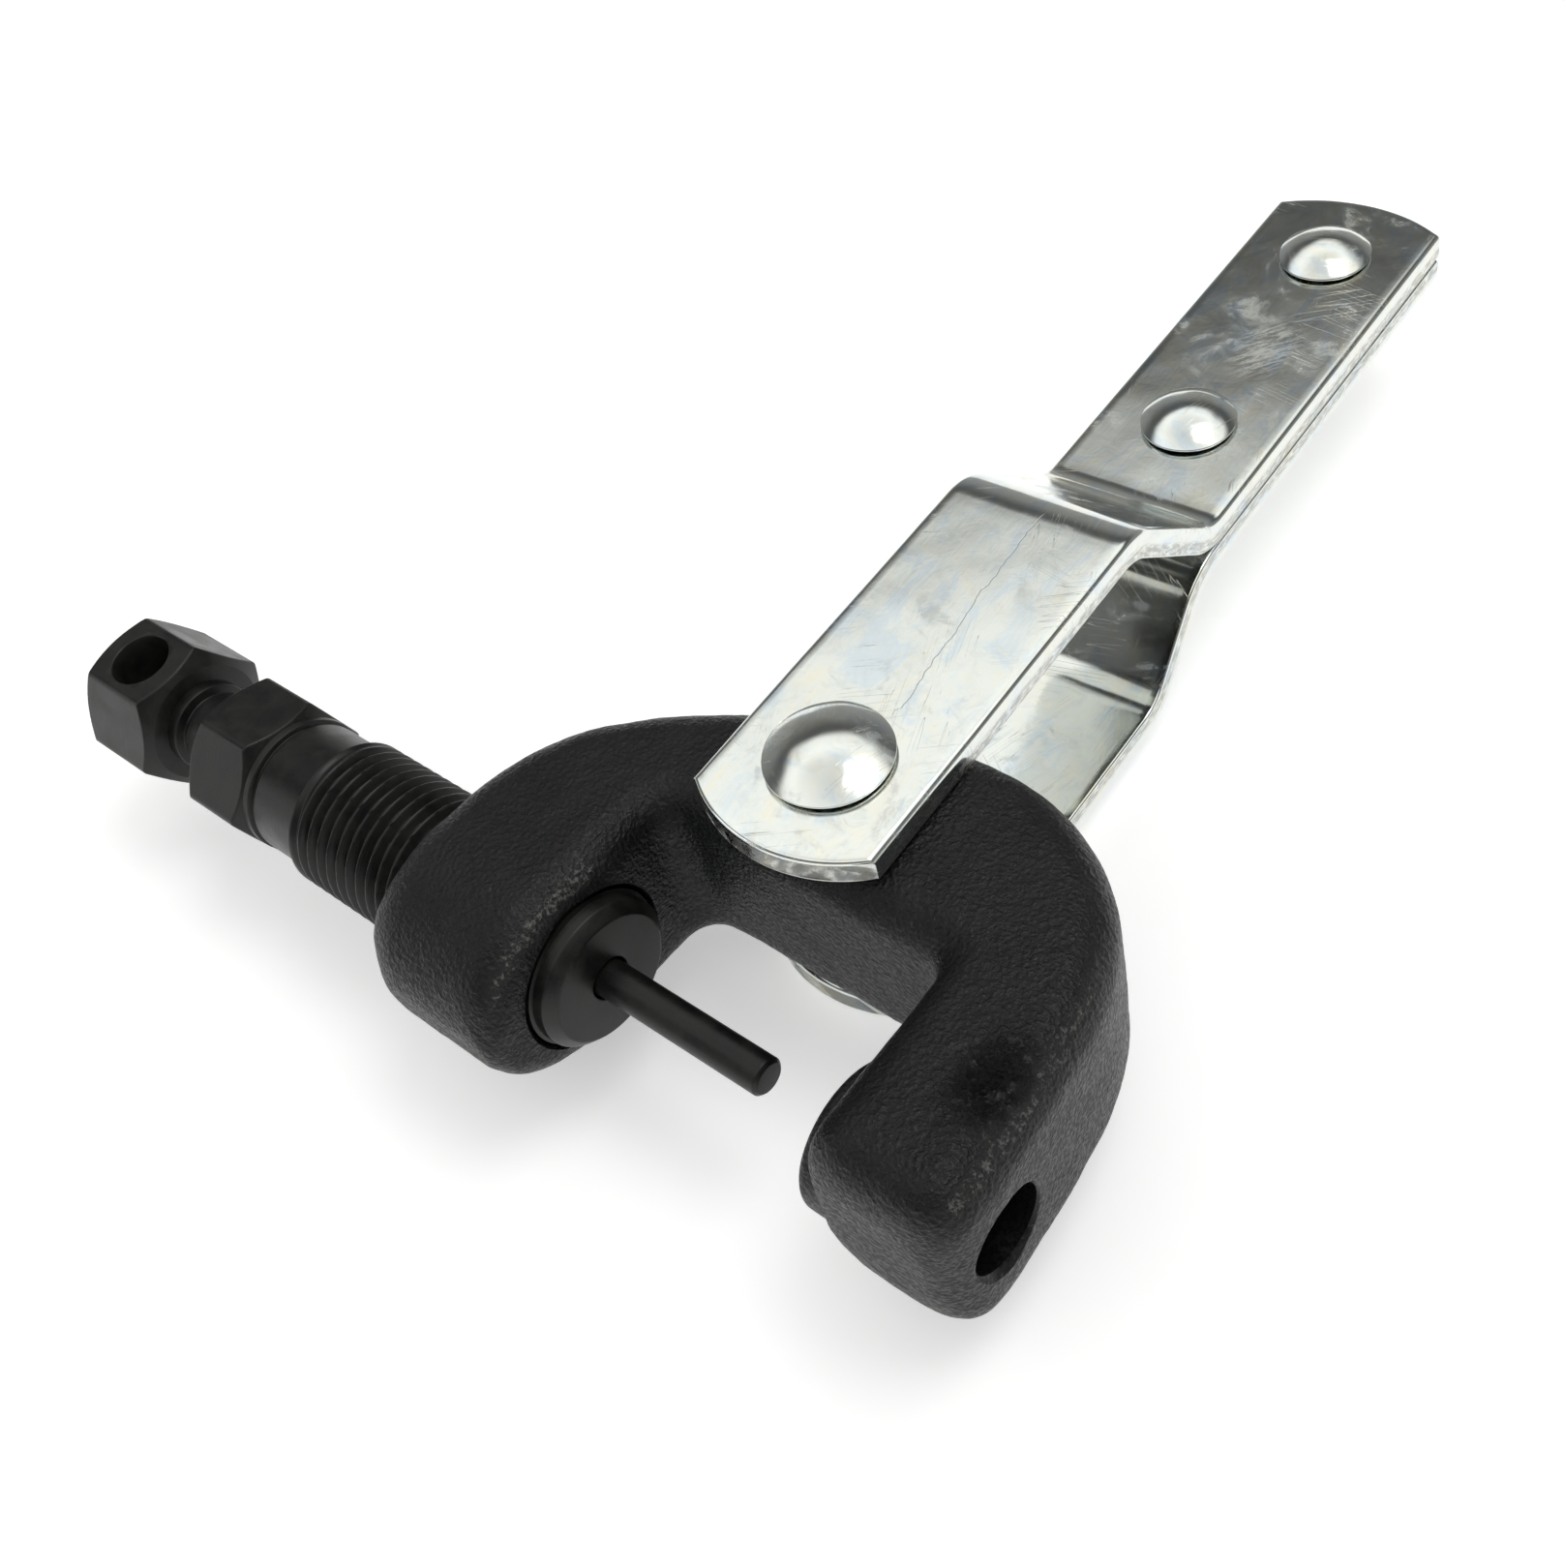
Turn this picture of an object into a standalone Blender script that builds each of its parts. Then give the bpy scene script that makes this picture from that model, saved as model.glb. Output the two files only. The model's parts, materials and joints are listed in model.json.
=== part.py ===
"""Chain tool: a cast C-frame with a hollow pressure screw, a drive screw and pin inside it, and a
swinging two-plate handle riveted through the back of the frame.

The tool lies flat with the handle pivot upright. +X runs along the screws from their hex heads towards
the anvil jaw, +Y runs from the throat towards the handle, and +Z is up. The driving dimensions are in
millimetres.
"""

import math

import bmesh
import bpy
from mathutils import Matrix, Vector

MM = 0.001
GAP = 0.3
ALONG_X = (0.0, math.radians(90.0), 0.0)

# Place of the pivot axis at the frame's mid-plane, in the tool's own frame.
PIVOT = Vector((26.0, -34.716, 16.8))

# C-frame, measured from the pivot.
WEB_HALF = 11.1
EDGE_ROUND = 4.3
JAW_OUTER_ROUND = 4.5
JAW_INNER_ROUND = 2.5
SCREW_AXIS_Y = -23.0
THROAT_WALL_Y = -9.3
LEFT_JAW_IN = -13.2
LEFT_JAW_OUT = -32.0
LEFT_JAW_REACH = 13.0
LEFT_JAW_POWER = 2.1
LEFT_FILLET = 3.2
RIGHT_JAW_IN = 18.6
RIGHT_JAW_OUT = 34.0
RIGHT_JAW_REACH = 7.4
RIGHT_JAW_POWER = 4.0
RIGHT_FILLET = 2.5
BOSS_FACE = 17.3
BOSS_RADIUS = 6.8
BOSS_EDGE = 0.8
EXIT_BORE = 4.2
EXIT_CHAMFER = 4.9
EXIT_DEPTH = 11.0
PIN_HOLE = 2.7

# Pressure screw, M16 x 1.5, stations along the screw axis.
PRESSURE_RADIUS = 8.0
PITCH = 1.5
THREAD_DEPTH = 0.92
THREAD_CLEARANCE = 0.25
PRESSURE_TIP = -11.0
NOSE_RADIUS = 7.65
NOSE_CHAMFER = 1.05
NOSE_LENGTH = 2.2
PRESSURE_THREAD_START = -48.5
SHANK_RADIUS = 7.2
PRESSURE_HEX_FRONT = -56.6
PRESSURE_HEX_BACK = -66.7
PRESSURE_HEX_ANGLE = 50.5
HEX_ACROSS_FLATS = 15.0
HEX_CHAMFER_RADIUS = 6.6
HEX_CHAMFER_LENGTH = 1.7
COLLAR_HEIGHT = 1.1

# Drive screw, M10 x 1.5.
DRIVE_RADIUS = 4.95
DRIVE_THREAD_DEPTH = 0.85
DRIVE_NECK_RADIUS = 4.5
DRIVE_THREAD_START = -69.0
DRIVE_TIP = -38.3
DRIVE_HEX_FRONT = -73.9
DRIVE_HEX_BACK = -86.0
DRIVE_HEX_ANGLE = 4.8
CROSS_HOLE_X = -80.1
CROSS_HOLE_RADIUS = 3.5

# Extractor pin and its return spring.
PIN_RADIUS = 1.9
PIN_TIP = 8.35
PIN_HEAD_RADIUS = 4.5
PIN_HEAD_BACK = -38.0
PIN_HEAD_FRONT = -35.0
GUIDE_LENGTH = 3.8
SPRING_CHAMBER_RADIUS = 3.9
SPRING_CHAMBER_BACK = -24.0
SPRING_RADIUS = 2.95
SPRING_WIRE = 0.4
SPRING_TURNS = 6

# Handle plates, stations along the handle from the pivot.
HANDLE_SWING = 2.7
PLATE_THICKNESS = 3.0
PLATE_HALF_WIDTH = 10.0
PLATE_EDGE_ROUND = 0.4
UPPER_FRONT_APEX = -11.0
LOWER_FRONT_APEX = -8.0
FRONT_END_RADIUS = 15.5
REAR_APEX = 105.4
REAR_END_RADIUS = 19.0
FRONT_RIVET = 63.0
REAR_RIVET = 94.4
BEND_RADIUS = 4.0
UPPER_JOGGLE = (35.9, 49.4)
LOWER_JOGGLE = (38.0, 47.5)

# Rivets.
PIVOT_SHANK = 4.0
PIVOT_HEAD = 6.15
PIVOT_HEAD_HEIGHT = 2.1
HANDLE_SHANK = 3.0
HANDLE_HEAD = 5.15
HANDLE_HEAD_HEIGHT = 2.1


def clear_scene():
    for old in list(bpy.data.objects):
        bpy.data.objects.remove(old, do_unlink=True)


def new_collection(name):
    collection = bpy.data.collections.new(name)
    bpy.context.scene.collection.children.link(collection)
    return collection


def new_material(name, colour, roughness, metallic):
    material = bpy.data.materials.new(name)
    material.use_nodes = True
    shader = material.node_tree.nodes["Principled BSDF"]
    shader.inputs["Base Color"].default_value = (*colour, 1.0)
    shader.inputs["Roughness"].default_value = roughness
    shader.inputs["Metallic"].default_value = metallic
    return material


def new_object(name, bm, parent=None, material=None, collection=None):
    """Makes an object from a bmesh drawn in millimetres."""
    bmesh.ops.scale(bm, vec=(MM, MM, MM), verts=bm.verts)
    mesh = bpy.data.meshes.new(name)
    bm.to_mesh(mesh)
    bm.free()
    obj = bpy.data.objects.new(name, mesh)
    (collection or PARTS).objects.link(obj)
    obj.parent = parent
    if material:
        mesh.materials.append(material)
    return obj


def smooth(obj, degrees=35):
    obj.data.shade_smooth()
    obj.data.set_sharp_from_angle(angle=math.radians(degrees))


def turned(name, profile, steps, parent, material=None, collection=None, along_x=True):
    """Turns a profile of (radius, height) points, listed from the highest to the lowest."""
    bm = bmesh.new()
    points = [bm.verts.new((radius, 0.0, height)) for radius, height in profile]
    for upper, lower in zip(points, points[1:]):
        bm.edges.new((upper, lower))
    obj = new_object(name, bm, parent, material, collection)
    screw = obj.modifiers.new("turn", "SCREW")
    screw.steps = steps
    screw.render_steps = steps
    screw.use_merge_vertices = True
    screw.merge_threshold = 0.000001
    screw.use_smooth_shade = True
    if along_x:
        obj.rotation_euler = ALONG_X
    return obj


def hex_prism(name, back, front, corner_angle, parent, collection=None):
    """A hexagonal bar along X, its first corner at corner_angle from +Y towards +Z."""
    bm = bmesh.new()
    corner = HEX_ACROSS_FLATS / math.sqrt(3.0)
    bmesh.ops.create_cone(
        bm, cap_ends=True, segments=6, radius1=corner, radius2=corner, depth=front - back
    )
    bmesh.ops.rotate(bm, matrix=Matrix.Rotation(math.radians(corner_angle), 3, "Z"), verts=bm.verts)
    bmesh.ops.translate(bm, vec=(0.0, 0.0, 0.5 * (front + back)), verts=bm.verts)
    obj = new_object(name, bm, parent, None, collection)
    obj.rotation_euler = ALONG_X
    return obj


def hide_cutter(obj):
    obj.hide_render = True
    obj.display_type = "WIRE"


def combine(obj, other, operation):
    hide_cutter(other)
    boolean = obj.modifiers.new(operation.lower(), "BOOLEAN")
    boolean.operation = operation
    boolean.object = other
    boolean.solver = "EXACT"


def bar_cutter(name, radius, low, high, parent, segments=24):
    """A plain round cutter along its own Z axis."""
    bm = bmesh.new()
    bmesh.ops.create_cone(
        bm, cap_ends=True, segments=segments, radius1=radius, radius2=radius, depth=high - low
    )
    bmesh.ops.translate(bm, vec=(0.0, 0.0, 0.5 * (high + low)), verts=bm.verts)
    return new_object(name, bm, parent, None, CUTTERS)


def ring_thread(high, low, radius, depth):
    """Profile of a thread as turned rings at the real pitch, from high to low."""
    count = int((high - low) / PITCH)
    points = []
    for turn in range(count):
        crest = high - PITCH * turn
        points.append((radius, crest))
        points.append((radius - depth, crest - 0.5 * PITCH))
    points.append((radius, high - PITCH * count))
    return points


def hex_barrel(name, back, front, parent):
    """Turned form that leaves the chamfers on both ends of a hexagon."""
    outer = HEX_ACROSS_FLATS / math.sqrt(3.0) + GAP
    profile = [
        (0.0, front),
        (HEX_CHAMFER_RADIUS, front),
        (outer, front - HEX_CHAMFER_LENGTH),
        (outer, back + HEX_CHAMFER_LENGTH),
        (HEX_CHAMFER_RADIUS, back),
        (0.0, back),
    ]
    return turned(name, profile, 36, parent, None, CUTTERS)


def spline(points, per_span):
    """Catmull-Rom curve through the points, with per_span steps between neighbours."""
    padded = [2 * points[0] - points[1], *points, 2 * points[-1] - points[-2]]
    result = []
    for before, start, end, after in zip(padded, padded[1:], padded[2:], padded[3:]):
        for step in range(per_span):
            t = step / per_span
            result.append(
                0.5
                * (
                    2 * start
                    + (end - before) * t
                    + (2 * before - 5 * start + 4 * end - after) * t**2
                    + (3 * start - before - 3 * end + after) * t**3
                )
            )
    result.append(points[-1])
    return result


def frame_back_outline():
    """Outer edge of the C-frame from the left jaw over the back to the right jaw."""
    points = [
        (LEFT_JAW_OUT, SCREW_AXIS_Y),
        (-31.3, -15.4),
        (-28.5, -8.1),
        (-23.3, -2.3),
        (-16.1, 2.8),
        (-7.0, 7.2),
        (1.5, 9.6),
        (10.4, 10.4),
        (17.0, 9.6),
        (23.4, 6.7),
        (28.4, 2.0),
        (31.6, -4.6),
        (33.0, -12.1),
        (RIGHT_JAW_OUT, SCREW_AXIS_Y),
    ]
    return spline([Vector(point) for point in points], 2)


def throat_outline():
    """Edge of the throat, from the left jaw's screw axis round the wall to the right jaw's."""
    steps = 6
    left_centre = Vector((LEFT_JAW_IN + LEFT_FILLET, THROAT_WALL_Y - LEFT_FILLET))
    right_centre = Vector((RIGHT_JAW_IN - RIGHT_FILLET, THROAT_WALL_Y - RIGHT_FILLET))
    points = [Vector((LEFT_JAW_IN, SCREW_AXIS_Y))]
    for step in range(steps + 1):
        angle = math.radians(180.0 - 90.0 * step / steps)
        points.append(left_centre + LEFT_FILLET * Vector((math.cos(angle), math.sin(angle))))
    for step in range(steps + 1):
        angle = math.radians(90.0 - 90.0 * step / steps)
        points.append(right_centre + RIGHT_FILLET * Vector((math.cos(angle), math.sin(angle))))
    points.append(Vector((RIGHT_JAW_IN, SCREW_AXIS_Y)))
    return points


def spread(points, shares):
    """Points along a polyline at the given shares of its length."""
    lengths = [0.0]
    for start, end in zip(points, points[1:]):
        lengths.append(lengths[-1] + (end - start).length)
    result = []
    for share in shares:
        target = share * lengths[-1]
        index = 0
        while index < len(points) - 2 and lengths[index + 1] < target:
            index += 1
        span = lengths[index + 1] - lengths[index]
        result.append(points[index].lerp(points[index + 1], (target - lengths[index]) / span))
    return result


def corner_inset(corner_radius, depth):
    left = max(0.0, corner_radius - depth)
    return corner_radius - math.sqrt(corner_radius**2 - left**2)


def jaw_end(inner_x, outer_x, reach, power):
    """Stations (inner point, outer point, half height) from the tip of a jaw up to the screw axis."""
    stations = []
    side = 1.0 if outer_x > inner_x else -1.0
    for depth in (0.15, 0.7, 1.7, 3.2, 5.2, 8.0):
        if depth > reach - 0.5:
            continue
        y = SCREW_AXIS_Y - reach + depth
        half = WEB_HALF * (1.0 - (1.0 - depth / reach) ** power) ** (1.0 / power)
        inner = Vector((inner_x + side * corner_inset(JAW_INNER_ROUND, depth), y))
        outer = Vector((outer_x - side * corner_inset(JAW_OUTER_ROUND, depth), y))
        stations.append((inner, outer, half))
    return stations


def frame_stations():
    """Stations all along the C: each pairs a point of the throat's edge with one of the back's edge."""
    back = frame_back_outline()
    throat = throat_outline()
    last = len(back) - 1
    stations = jaw_end(LEFT_JAW_IN, LEFT_JAW_OUT, LEFT_JAW_REACH, LEFT_JAW_POWER)
    for outer, inner in zip(back, spread(throat, [index / last for index in range(last + 1)])):
        stations.append((inner, outer, WEB_HALF))
    stations += reversed(jaw_end(RIGHT_JAW_IN, RIGHT_JAW_OUT, RIGHT_JAW_REACH, RIGHT_JAW_POWER))
    return stations


def section(inner, outer, half):
    """Rounded rectangle standing between an inner and an outer point."""
    across = outer - inner
    width = across.length
    direction = across / width
    radius = min(EDGE_ROUND, 0.95 * half, 0.45 * width)
    points = []
    for corner in range(4):
        u_centre = width - radius if corner in (0, 3) else radius
        z_centre = half - radius if corner in (0, 1) else radius - half
        for step in range(5):
            angle = math.radians(90.0 * corner + 22.5 * step)
            spot = inner + direction * (u_centre + radius * math.cos(angle))
            points.append((spot.x, spot.y, z_centre + radius * math.sin(angle)))
    return points


def make_frame_body():
    bm = bmesh.new()
    rings = [[bm.verts.new(point) for point in section(*station)] for station in frame_stations()]
    count = len(rings[0])
    for ring, following in zip(rings, rings[1:]):
        for index in range(count):
            after = (index + 1) % count
            bm.faces.new((ring[index], ring[after], following[after], following[index]))
    bm.faces.new(rings[0])
    bm.faces.new(rings[-1])
    bmesh.ops.recalc_face_normals(bm, faces=bm.faces)
    return bm


def make_c_frame(pivot, screw_axis):
    """Cast frame: throat, anvil boss, tapped screw bore, pin exit bore and pivot hole."""
    frame = new_object("c_frame", make_frame_body(), pivot, BLACK_CAST)
    boss_profile = [
        (0.0, RIGHT_JAW_IN + 3.0),
        (BOSS_RADIUS, RIGHT_JAW_IN + 3.0),
        (BOSS_RADIUS, BOSS_FACE + BOSS_EDGE),
        (BOSS_RADIUS - 0.3 * BOSS_EDGE, BOSS_FACE + 0.3 * BOSS_EDGE),
        (BOSS_RADIUS - BOSS_EDGE, BOSS_FACE),
        (0.0, BOSS_FACE),
    ]
    combine(frame, turned("boss_form", boss_profile, 28, screw_axis, None, CUTTERS), "UNION")
    bore = PRESSURE_RADIUS + THREAD_CLEARANCE
    past = 5.0
    screw_bore = bar_cutter("screw_bore", bore, LEFT_JAW_OUT - past, LEFT_JAW_IN + past, screw_axis, 32)
    screw_bore.rotation_euler = ALONG_X
    combine(frame, screw_bore, "DIFFERENCE")
    step = EXIT_CHAMFER - EXIT_BORE
    exit_profile = [
        (0.0, RIGHT_JAW_OUT + past),
        (EXIT_CHAMFER + past, RIGHT_JAW_OUT + past),
        (EXIT_BORE, RIGHT_JAW_OUT - step),
        (EXIT_BORE, RIGHT_JAW_OUT - EXIT_DEPTH),
        (PIN_HOLE, RIGHT_JAW_OUT - EXIT_DEPTH - 1.2),
        (PIN_HOLE, BOSS_FACE - 2.0),
        (0.0, BOSS_FACE - 2.0),
    ]
    combine(frame, turned("exit_bore", exit_profile, 24, screw_axis, None, CUTTERS), "DIFFERENCE")
    pivot_hole = bar_cutter("pivot_hole", PIVOT_SHANK + GAP, -WEB_HALF - 3, WEB_HALF + 3, pivot)
    combine(frame, pivot_hole, "DIFFERENCE")
    smooth(frame)
    return frame


def make_pressure_screw(screw_axis):
    """Hollow screw with a hexagon, a plain shank and the outer thread."""
    thread_high = PRESSURE_TIP - NOSE_LENGTH - 0.6
    profile = [
        (0.0, PRESSURE_TIP),
        (NOSE_RADIUS - NOSE_CHAMFER, PRESSURE_TIP),
        (NOSE_RADIUS, PRESSURE_TIP - NOSE_CHAMFER),
        (NOSE_RADIUS, PRESSURE_TIP - NOSE_LENGTH),
    ]
    profile += ring_thread(thread_high, PRESSURE_THREAD_START, PRESSURE_RADIUS, THREAD_DEPTH)
    last = profile[-1][1]
    profile += [
        (SHANK_RADIUS, last - 0.5),
        (SHANK_RADIUS, PRESSURE_HEX_FRONT + COLLAR_HEIGHT),
        (SHANK_RADIUS - 0.35, PRESSURE_HEX_FRONT + 0.75 * COLLAR_HEIGHT),
        (SHANK_RADIUS + 0.2, PRESSURE_HEX_FRONT + 0.45 * COLLAR_HEIGHT),
        (SHANK_RADIUS + 0.2, PRESSURE_HEX_FRONT - 1.0),
        (0.0, PRESSURE_HEX_FRONT - 1.0),
    ]
    screw = turned("pressure_screw", profile, 24, screw_axis, BLACK_OXIDE)
    hexagon = hex_prism(
        "pressure_hex_form", PRESSURE_HEX_BACK, PRESSURE_HEX_FRONT, PRESSURE_HEX_ANGLE, screw_axis, CUTTERS
    )
    barrel = hex_barrel("pressure_hex_barrel", PRESSURE_HEX_BACK, PRESSURE_HEX_FRONT, screw_axis)
    combine(hexagon, barrel, "INTERSECT")
    combine(screw, hexagon, "UNION")
    chamber_front = PRESSURE_TIP - GUIDE_LENGTH
    bore = DRIVE_RADIUS + THREAD_CLEARANCE
    profile = [
        (0.0, PRESSURE_TIP + 2.0),
        (PIN_RADIUS + GAP, PRESSURE_TIP + 2.0),
        (PIN_RADIUS + GAP, chamber_front),
        (SPRING_CHAMBER_RADIUS, chamber_front),
        (SPRING_CHAMBER_RADIUS, SPRING_CHAMBER_BACK),
        (bore, SPRING_CHAMBER_BACK - 1.0),
        (bore, PRESSURE_HEX_BACK + 0.6),
        (bore + 3.0, PRESSURE_HEX_BACK - 2.4),
        (0.0, PRESSURE_HEX_BACK - 2.4),
    ]
    combine(screw, turned("pressure_bore", profile, 24, screw_axis, None, CUTTERS), "DIFFERENCE")
    smooth(screw)
    return screw


def make_drive_screw(screw_axis):
    """Inner screw: hexagon with a cross hole for a bar, a neck and the inner thread."""
    profile = [(0.0, DRIVE_TIP), (DRIVE_RADIUS - 1.0, DRIVE_TIP)]
    profile += ring_thread(DRIVE_TIP - 1.0, DRIVE_THREAD_START, DRIVE_RADIUS, DRIVE_THREAD_DEPTH)
    last = profile[-1][1]
    profile += [
        (DRIVE_NECK_RADIUS, last - 0.5),
        (DRIVE_NECK_RADIUS, DRIVE_HEX_FRONT + 0.5),
        (DRIVE_NECK_RADIUS + 0.5, DRIVE_HEX_FRONT - 1.0),
        (0.0, DRIVE_HEX_FRONT - 1.0),
    ]
    screw = turned("drive_screw", profile, 20, screw_axis, BLACK_OXIDE)
    hexagon = hex_prism(
        "drive_hex_form", DRIVE_HEX_BACK, DRIVE_HEX_FRONT, DRIVE_HEX_ANGLE, screw_axis, CUTTERS
    )
    barrel = hex_barrel("drive_hex_barrel", DRIVE_HEX_BACK, DRIVE_HEX_FRONT, screw_axis)
    combine(hexagon, barrel, "INTERSECT")
    combine(screw, hexagon, "UNION")
    reach = HEX_ACROSS_FLATS
    hole = bar_cutter("cross_hole", CROSS_HOLE_RADIUS, -reach, reach, screw_axis)
    hole.location = Vector((CROSS_HOLE_X, 0.0, 0.0)) * MM
    hole.rotation_euler = (math.radians(DRIVE_HEX_ANGLE), 0.0, 0.0)
    combine(screw, hole, "DIFFERENCE")
    smooth(screw)
    return screw


def make_extractor_pin(screw_axis):
    """Headed pin that the drive screw pushes through the pressure screw's nose."""
    tip_chamfer = 0.35
    profile = [
        (0.0, PIN_TIP),
        (PIN_RADIUS - tip_chamfer, PIN_TIP),
        (PIN_RADIUS, PIN_TIP - tip_chamfer),
        (PIN_RADIUS, PIN_HEAD_FRONT + 0.6),
        (PIN_RADIUS + 0.5, PIN_HEAD_FRONT),
        (PIN_HEAD_RADIUS, PIN_HEAD_FRONT),
        (PIN_HEAD_RADIUS, PIN_HEAD_BACK),
        (0.0, PIN_HEAD_BACK),
    ]
    pin = turned("extractor_pin", profile, 24, screw_axis, BLACK_OXIDE)
    smooth(pin)
    return pin


def make_pin_spring(screw_axis):
    """Compression spring between the pin's head and the bottom of the pressure screw's bore."""
    start = PIN_HEAD_FRONT + GAP + SPRING_WIRE
    end = PRESSURE_TIP - GUIDE_LENGTH - GAP - SPRING_WIRE
    steps_per_turn = 9
    total = SPRING_TURNS * steps_per_turn
    curve = bpy.data.curves.new("pin_spring", "CURVE")
    curve.dimensions = "3D"
    curve.bevel_depth = SPRING_WIRE * MM
    curve.bevel_resolution = 2
    curve.use_fill_caps = True
    wire = curve.splines.new("POLY")
    wire.points.add(total)
    for index, point in enumerate(wire.points):
        angle = 2.0 * math.pi * index / steps_per_turn
        x = start + (end - start) * index / total
        place = Vector((x, SPRING_RADIUS * math.cos(angle), SPRING_RADIUS * math.sin(angle)))
        point.co = (*(place * MM), 1.0)
    curve.materials.append(SPRING_STEEL)
    spring = bpy.data.objects.new("pin_spring", curve)
    PARTS.objects.link(spring)
    spring.parent = screw_axis
    return spring


def end_drop(radius, across):
    return radius - math.sqrt(radius**2 - across**2)


def plate_path(joggle, front_z, rear_z):
    """Mid-line of a plate as (station, height) pairs, with an arc at each bend."""
    start = Vector((joggle[0], front_z))
    end = Vector((joggle[1], rear_z))
    slope = (end - start).angle_signed(Vector((1.0, 0.0)))
    reach = BEND_RADIUS * math.tan(abs(slope) / 2.0)
    turn_sign = 1.0 if rear_z < front_z else -1.0
    along = (end - start).normalized()
    bends = ((start, Vector((1.0, 0.0)), -turn_sign), (end, along, turn_sign))
    path = []
    for corner, direction_in, bend_sign in bends:
        first = corner - direction_in * reach
        normal = Vector((-direction_in.y, direction_in.x)) * bend_sign
        centre = first + normal * BEND_RADIUS
        steps = 4
        for step in range(steps + 1):
            angle = bend_sign * abs(slope) * step / steps
            arm = first - centre
            arm.rotate(Matrix.Rotation(angle, 2))
            path.append(centre + arm)
    return path


def make_plate(name, side, joggle, front_apex, handle):
    """One handle plate: a strip with arched ends, joggled in behind the frame."""
    half = 0.5 * PLATE_THICKNESS
    front_z = side * (WEB_HALF + GAP + half)
    rear_z = side * (0.5 * GAP + half)
    columns = 7
    path = plate_path(joggle, front_z, rear_z)
    flat = front_apex + end_drop(FRONT_END_RADIUS, PLATE_HALF_WIDTH) + 1.0
    rear_flat = REAR_APEX - end_drop(REAR_END_RADIUS, PLATE_HALF_WIDTH) - 1.0
    bm = bmesh.new()
    rows = []
    widths = [PLATE_HALF_WIDTH * (2.0 * column / (columns - 1) - 1.0) for column in range(columns)]
    front = [(front_apex + end_drop(FRONT_END_RADIUS, across), front_z) for across in widths]
    rear = [(REAR_APEX - end_drop(REAR_END_RADIUS, across), rear_z) for across in widths]
    stations = [front, [(flat, front_z)] * columns]
    stations += [[tuple(point)] * columns for point in path]
    stations += [[(rear_flat, rear_z)] * columns, rear]
    for row in stations:
        places = zip(row, widths)
        rows.append([bm.verts.new((along, across, height)) for (along, height), across in places])
    for row, following in zip(rows, rows[1:]):
        for column in range(columns - 1):
            bm.faces.new((row[column], following[column], following[column + 1], row[column + 1]))
    plate = new_object(name, bm, handle, ZINC)
    shell = plate.modifiers.new("sheet", "SOLIDIFY")
    shell.thickness = PLATE_THICKNESS * MM
    shell.offset = 0.0
    shell.use_even_offset = True
    rounding = plate.modifiers.new("sheared_edge", "BEVEL")
    rounding.width = PLATE_EDGE_ROUND * MM
    rounding.segments = 2
    rounding.limit_method = "ANGLE"
    rounding.angle_limit = math.radians(50.0)
    height = WEB_HALF + GAP + PLATE_THICKNESS + 2.0
    holes = ((0.0, PIVOT_SHANK), (FRONT_RIVET, HANDLE_SHANK), (REAR_RIVET, HANDLE_SHANK))
    for index, (station, shank) in enumerate(holes):
        hole = bar_cutter(f"{name}_hole_{index}", shank + GAP, -height, height, handle)
        hole.location = Vector((station, 0.0, 0.0)) * MM
        combine(plate, hole, "DIFFERENCE")
    smooth(plate)
    return plate


def make_rivet(name, station, half_grip, shank, head, head_height, handle):
    """Shank with a domed head on each side."""
    rim = 0.35
    seat = half_grip + GAP
    sphere = (head**2 + head_height**2) / (2.0 * head_height)
    profile = []
    steps = 5
    for step in range(steps + 1):
        radius = head * math.sin(0.5 * math.pi * step / steps)
        rise = math.sqrt(sphere**2 - radius**2) - (sphere - head_height)
        profile.append((radius, seat + rim + rise * (1.0 - rim / head_height)))
    profile += [(head - 0.15, seat), (shank, seat)]
    profile += [(radius, -height) for radius, height in reversed(profile)]
    rivet = turned(name, profile, 24, handle, ZINC, None, False)
    rivet.location = Vector((station, 0.0, 0.0)) * MM
    smooth(rivet)
    return rivet


def empty(name, location, parent=None):
    obj = bpy.data.objects.new(name, None)
    obj.empty_display_size = 0.01
    PARTS.objects.link(obj)
    obj.parent = parent
    obj.location = Vector(location) * MM
    return obj


def main():
    pivot = empty("pivot_axis", PIVOT)
    screw_axis = empty("screw_axis", (0.0, SCREW_AXIS_Y, 0.0), pivot)
    handle = empty("handle_axis", (0.0, 0.0, 0.0), pivot)
    handle.rotation_euler = (0.0, 0.0, math.radians(90.0 + HANDLE_SWING))
    make_c_frame(pivot, screw_axis)
    make_pressure_screw(screw_axis)
    make_drive_screw(screw_axis)
    make_extractor_pin(screw_axis)
    make_pin_spring(screw_axis)
    make_plate("upper_handle_plate", 1.0, UPPER_JOGGLE, UPPER_FRONT_APEX, handle)
    make_plate("lower_handle_plate", -1.0, LOWER_JOGGLE, LOWER_FRONT_APEX, handle)
    front_grip = WEB_HALF + GAP + PLATE_THICKNESS
    rear_grip = 0.5 * GAP + PLATE_THICKNESS
    make_rivet("pivot_rivet", 0.0, front_grip, PIVOT_SHANK, PIVOT_HEAD, PIVOT_HEAD_HEIGHT, handle)
    for name, station in (("front_handle_rivet", FRONT_RIVET), ("rear_handle_rivet", REAR_RIVET)):
        make_rivet(name, station, rear_grip, HANDLE_SHANK, HANDLE_HEAD, HANDLE_HEAD_HEIGHT, handle)


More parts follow.
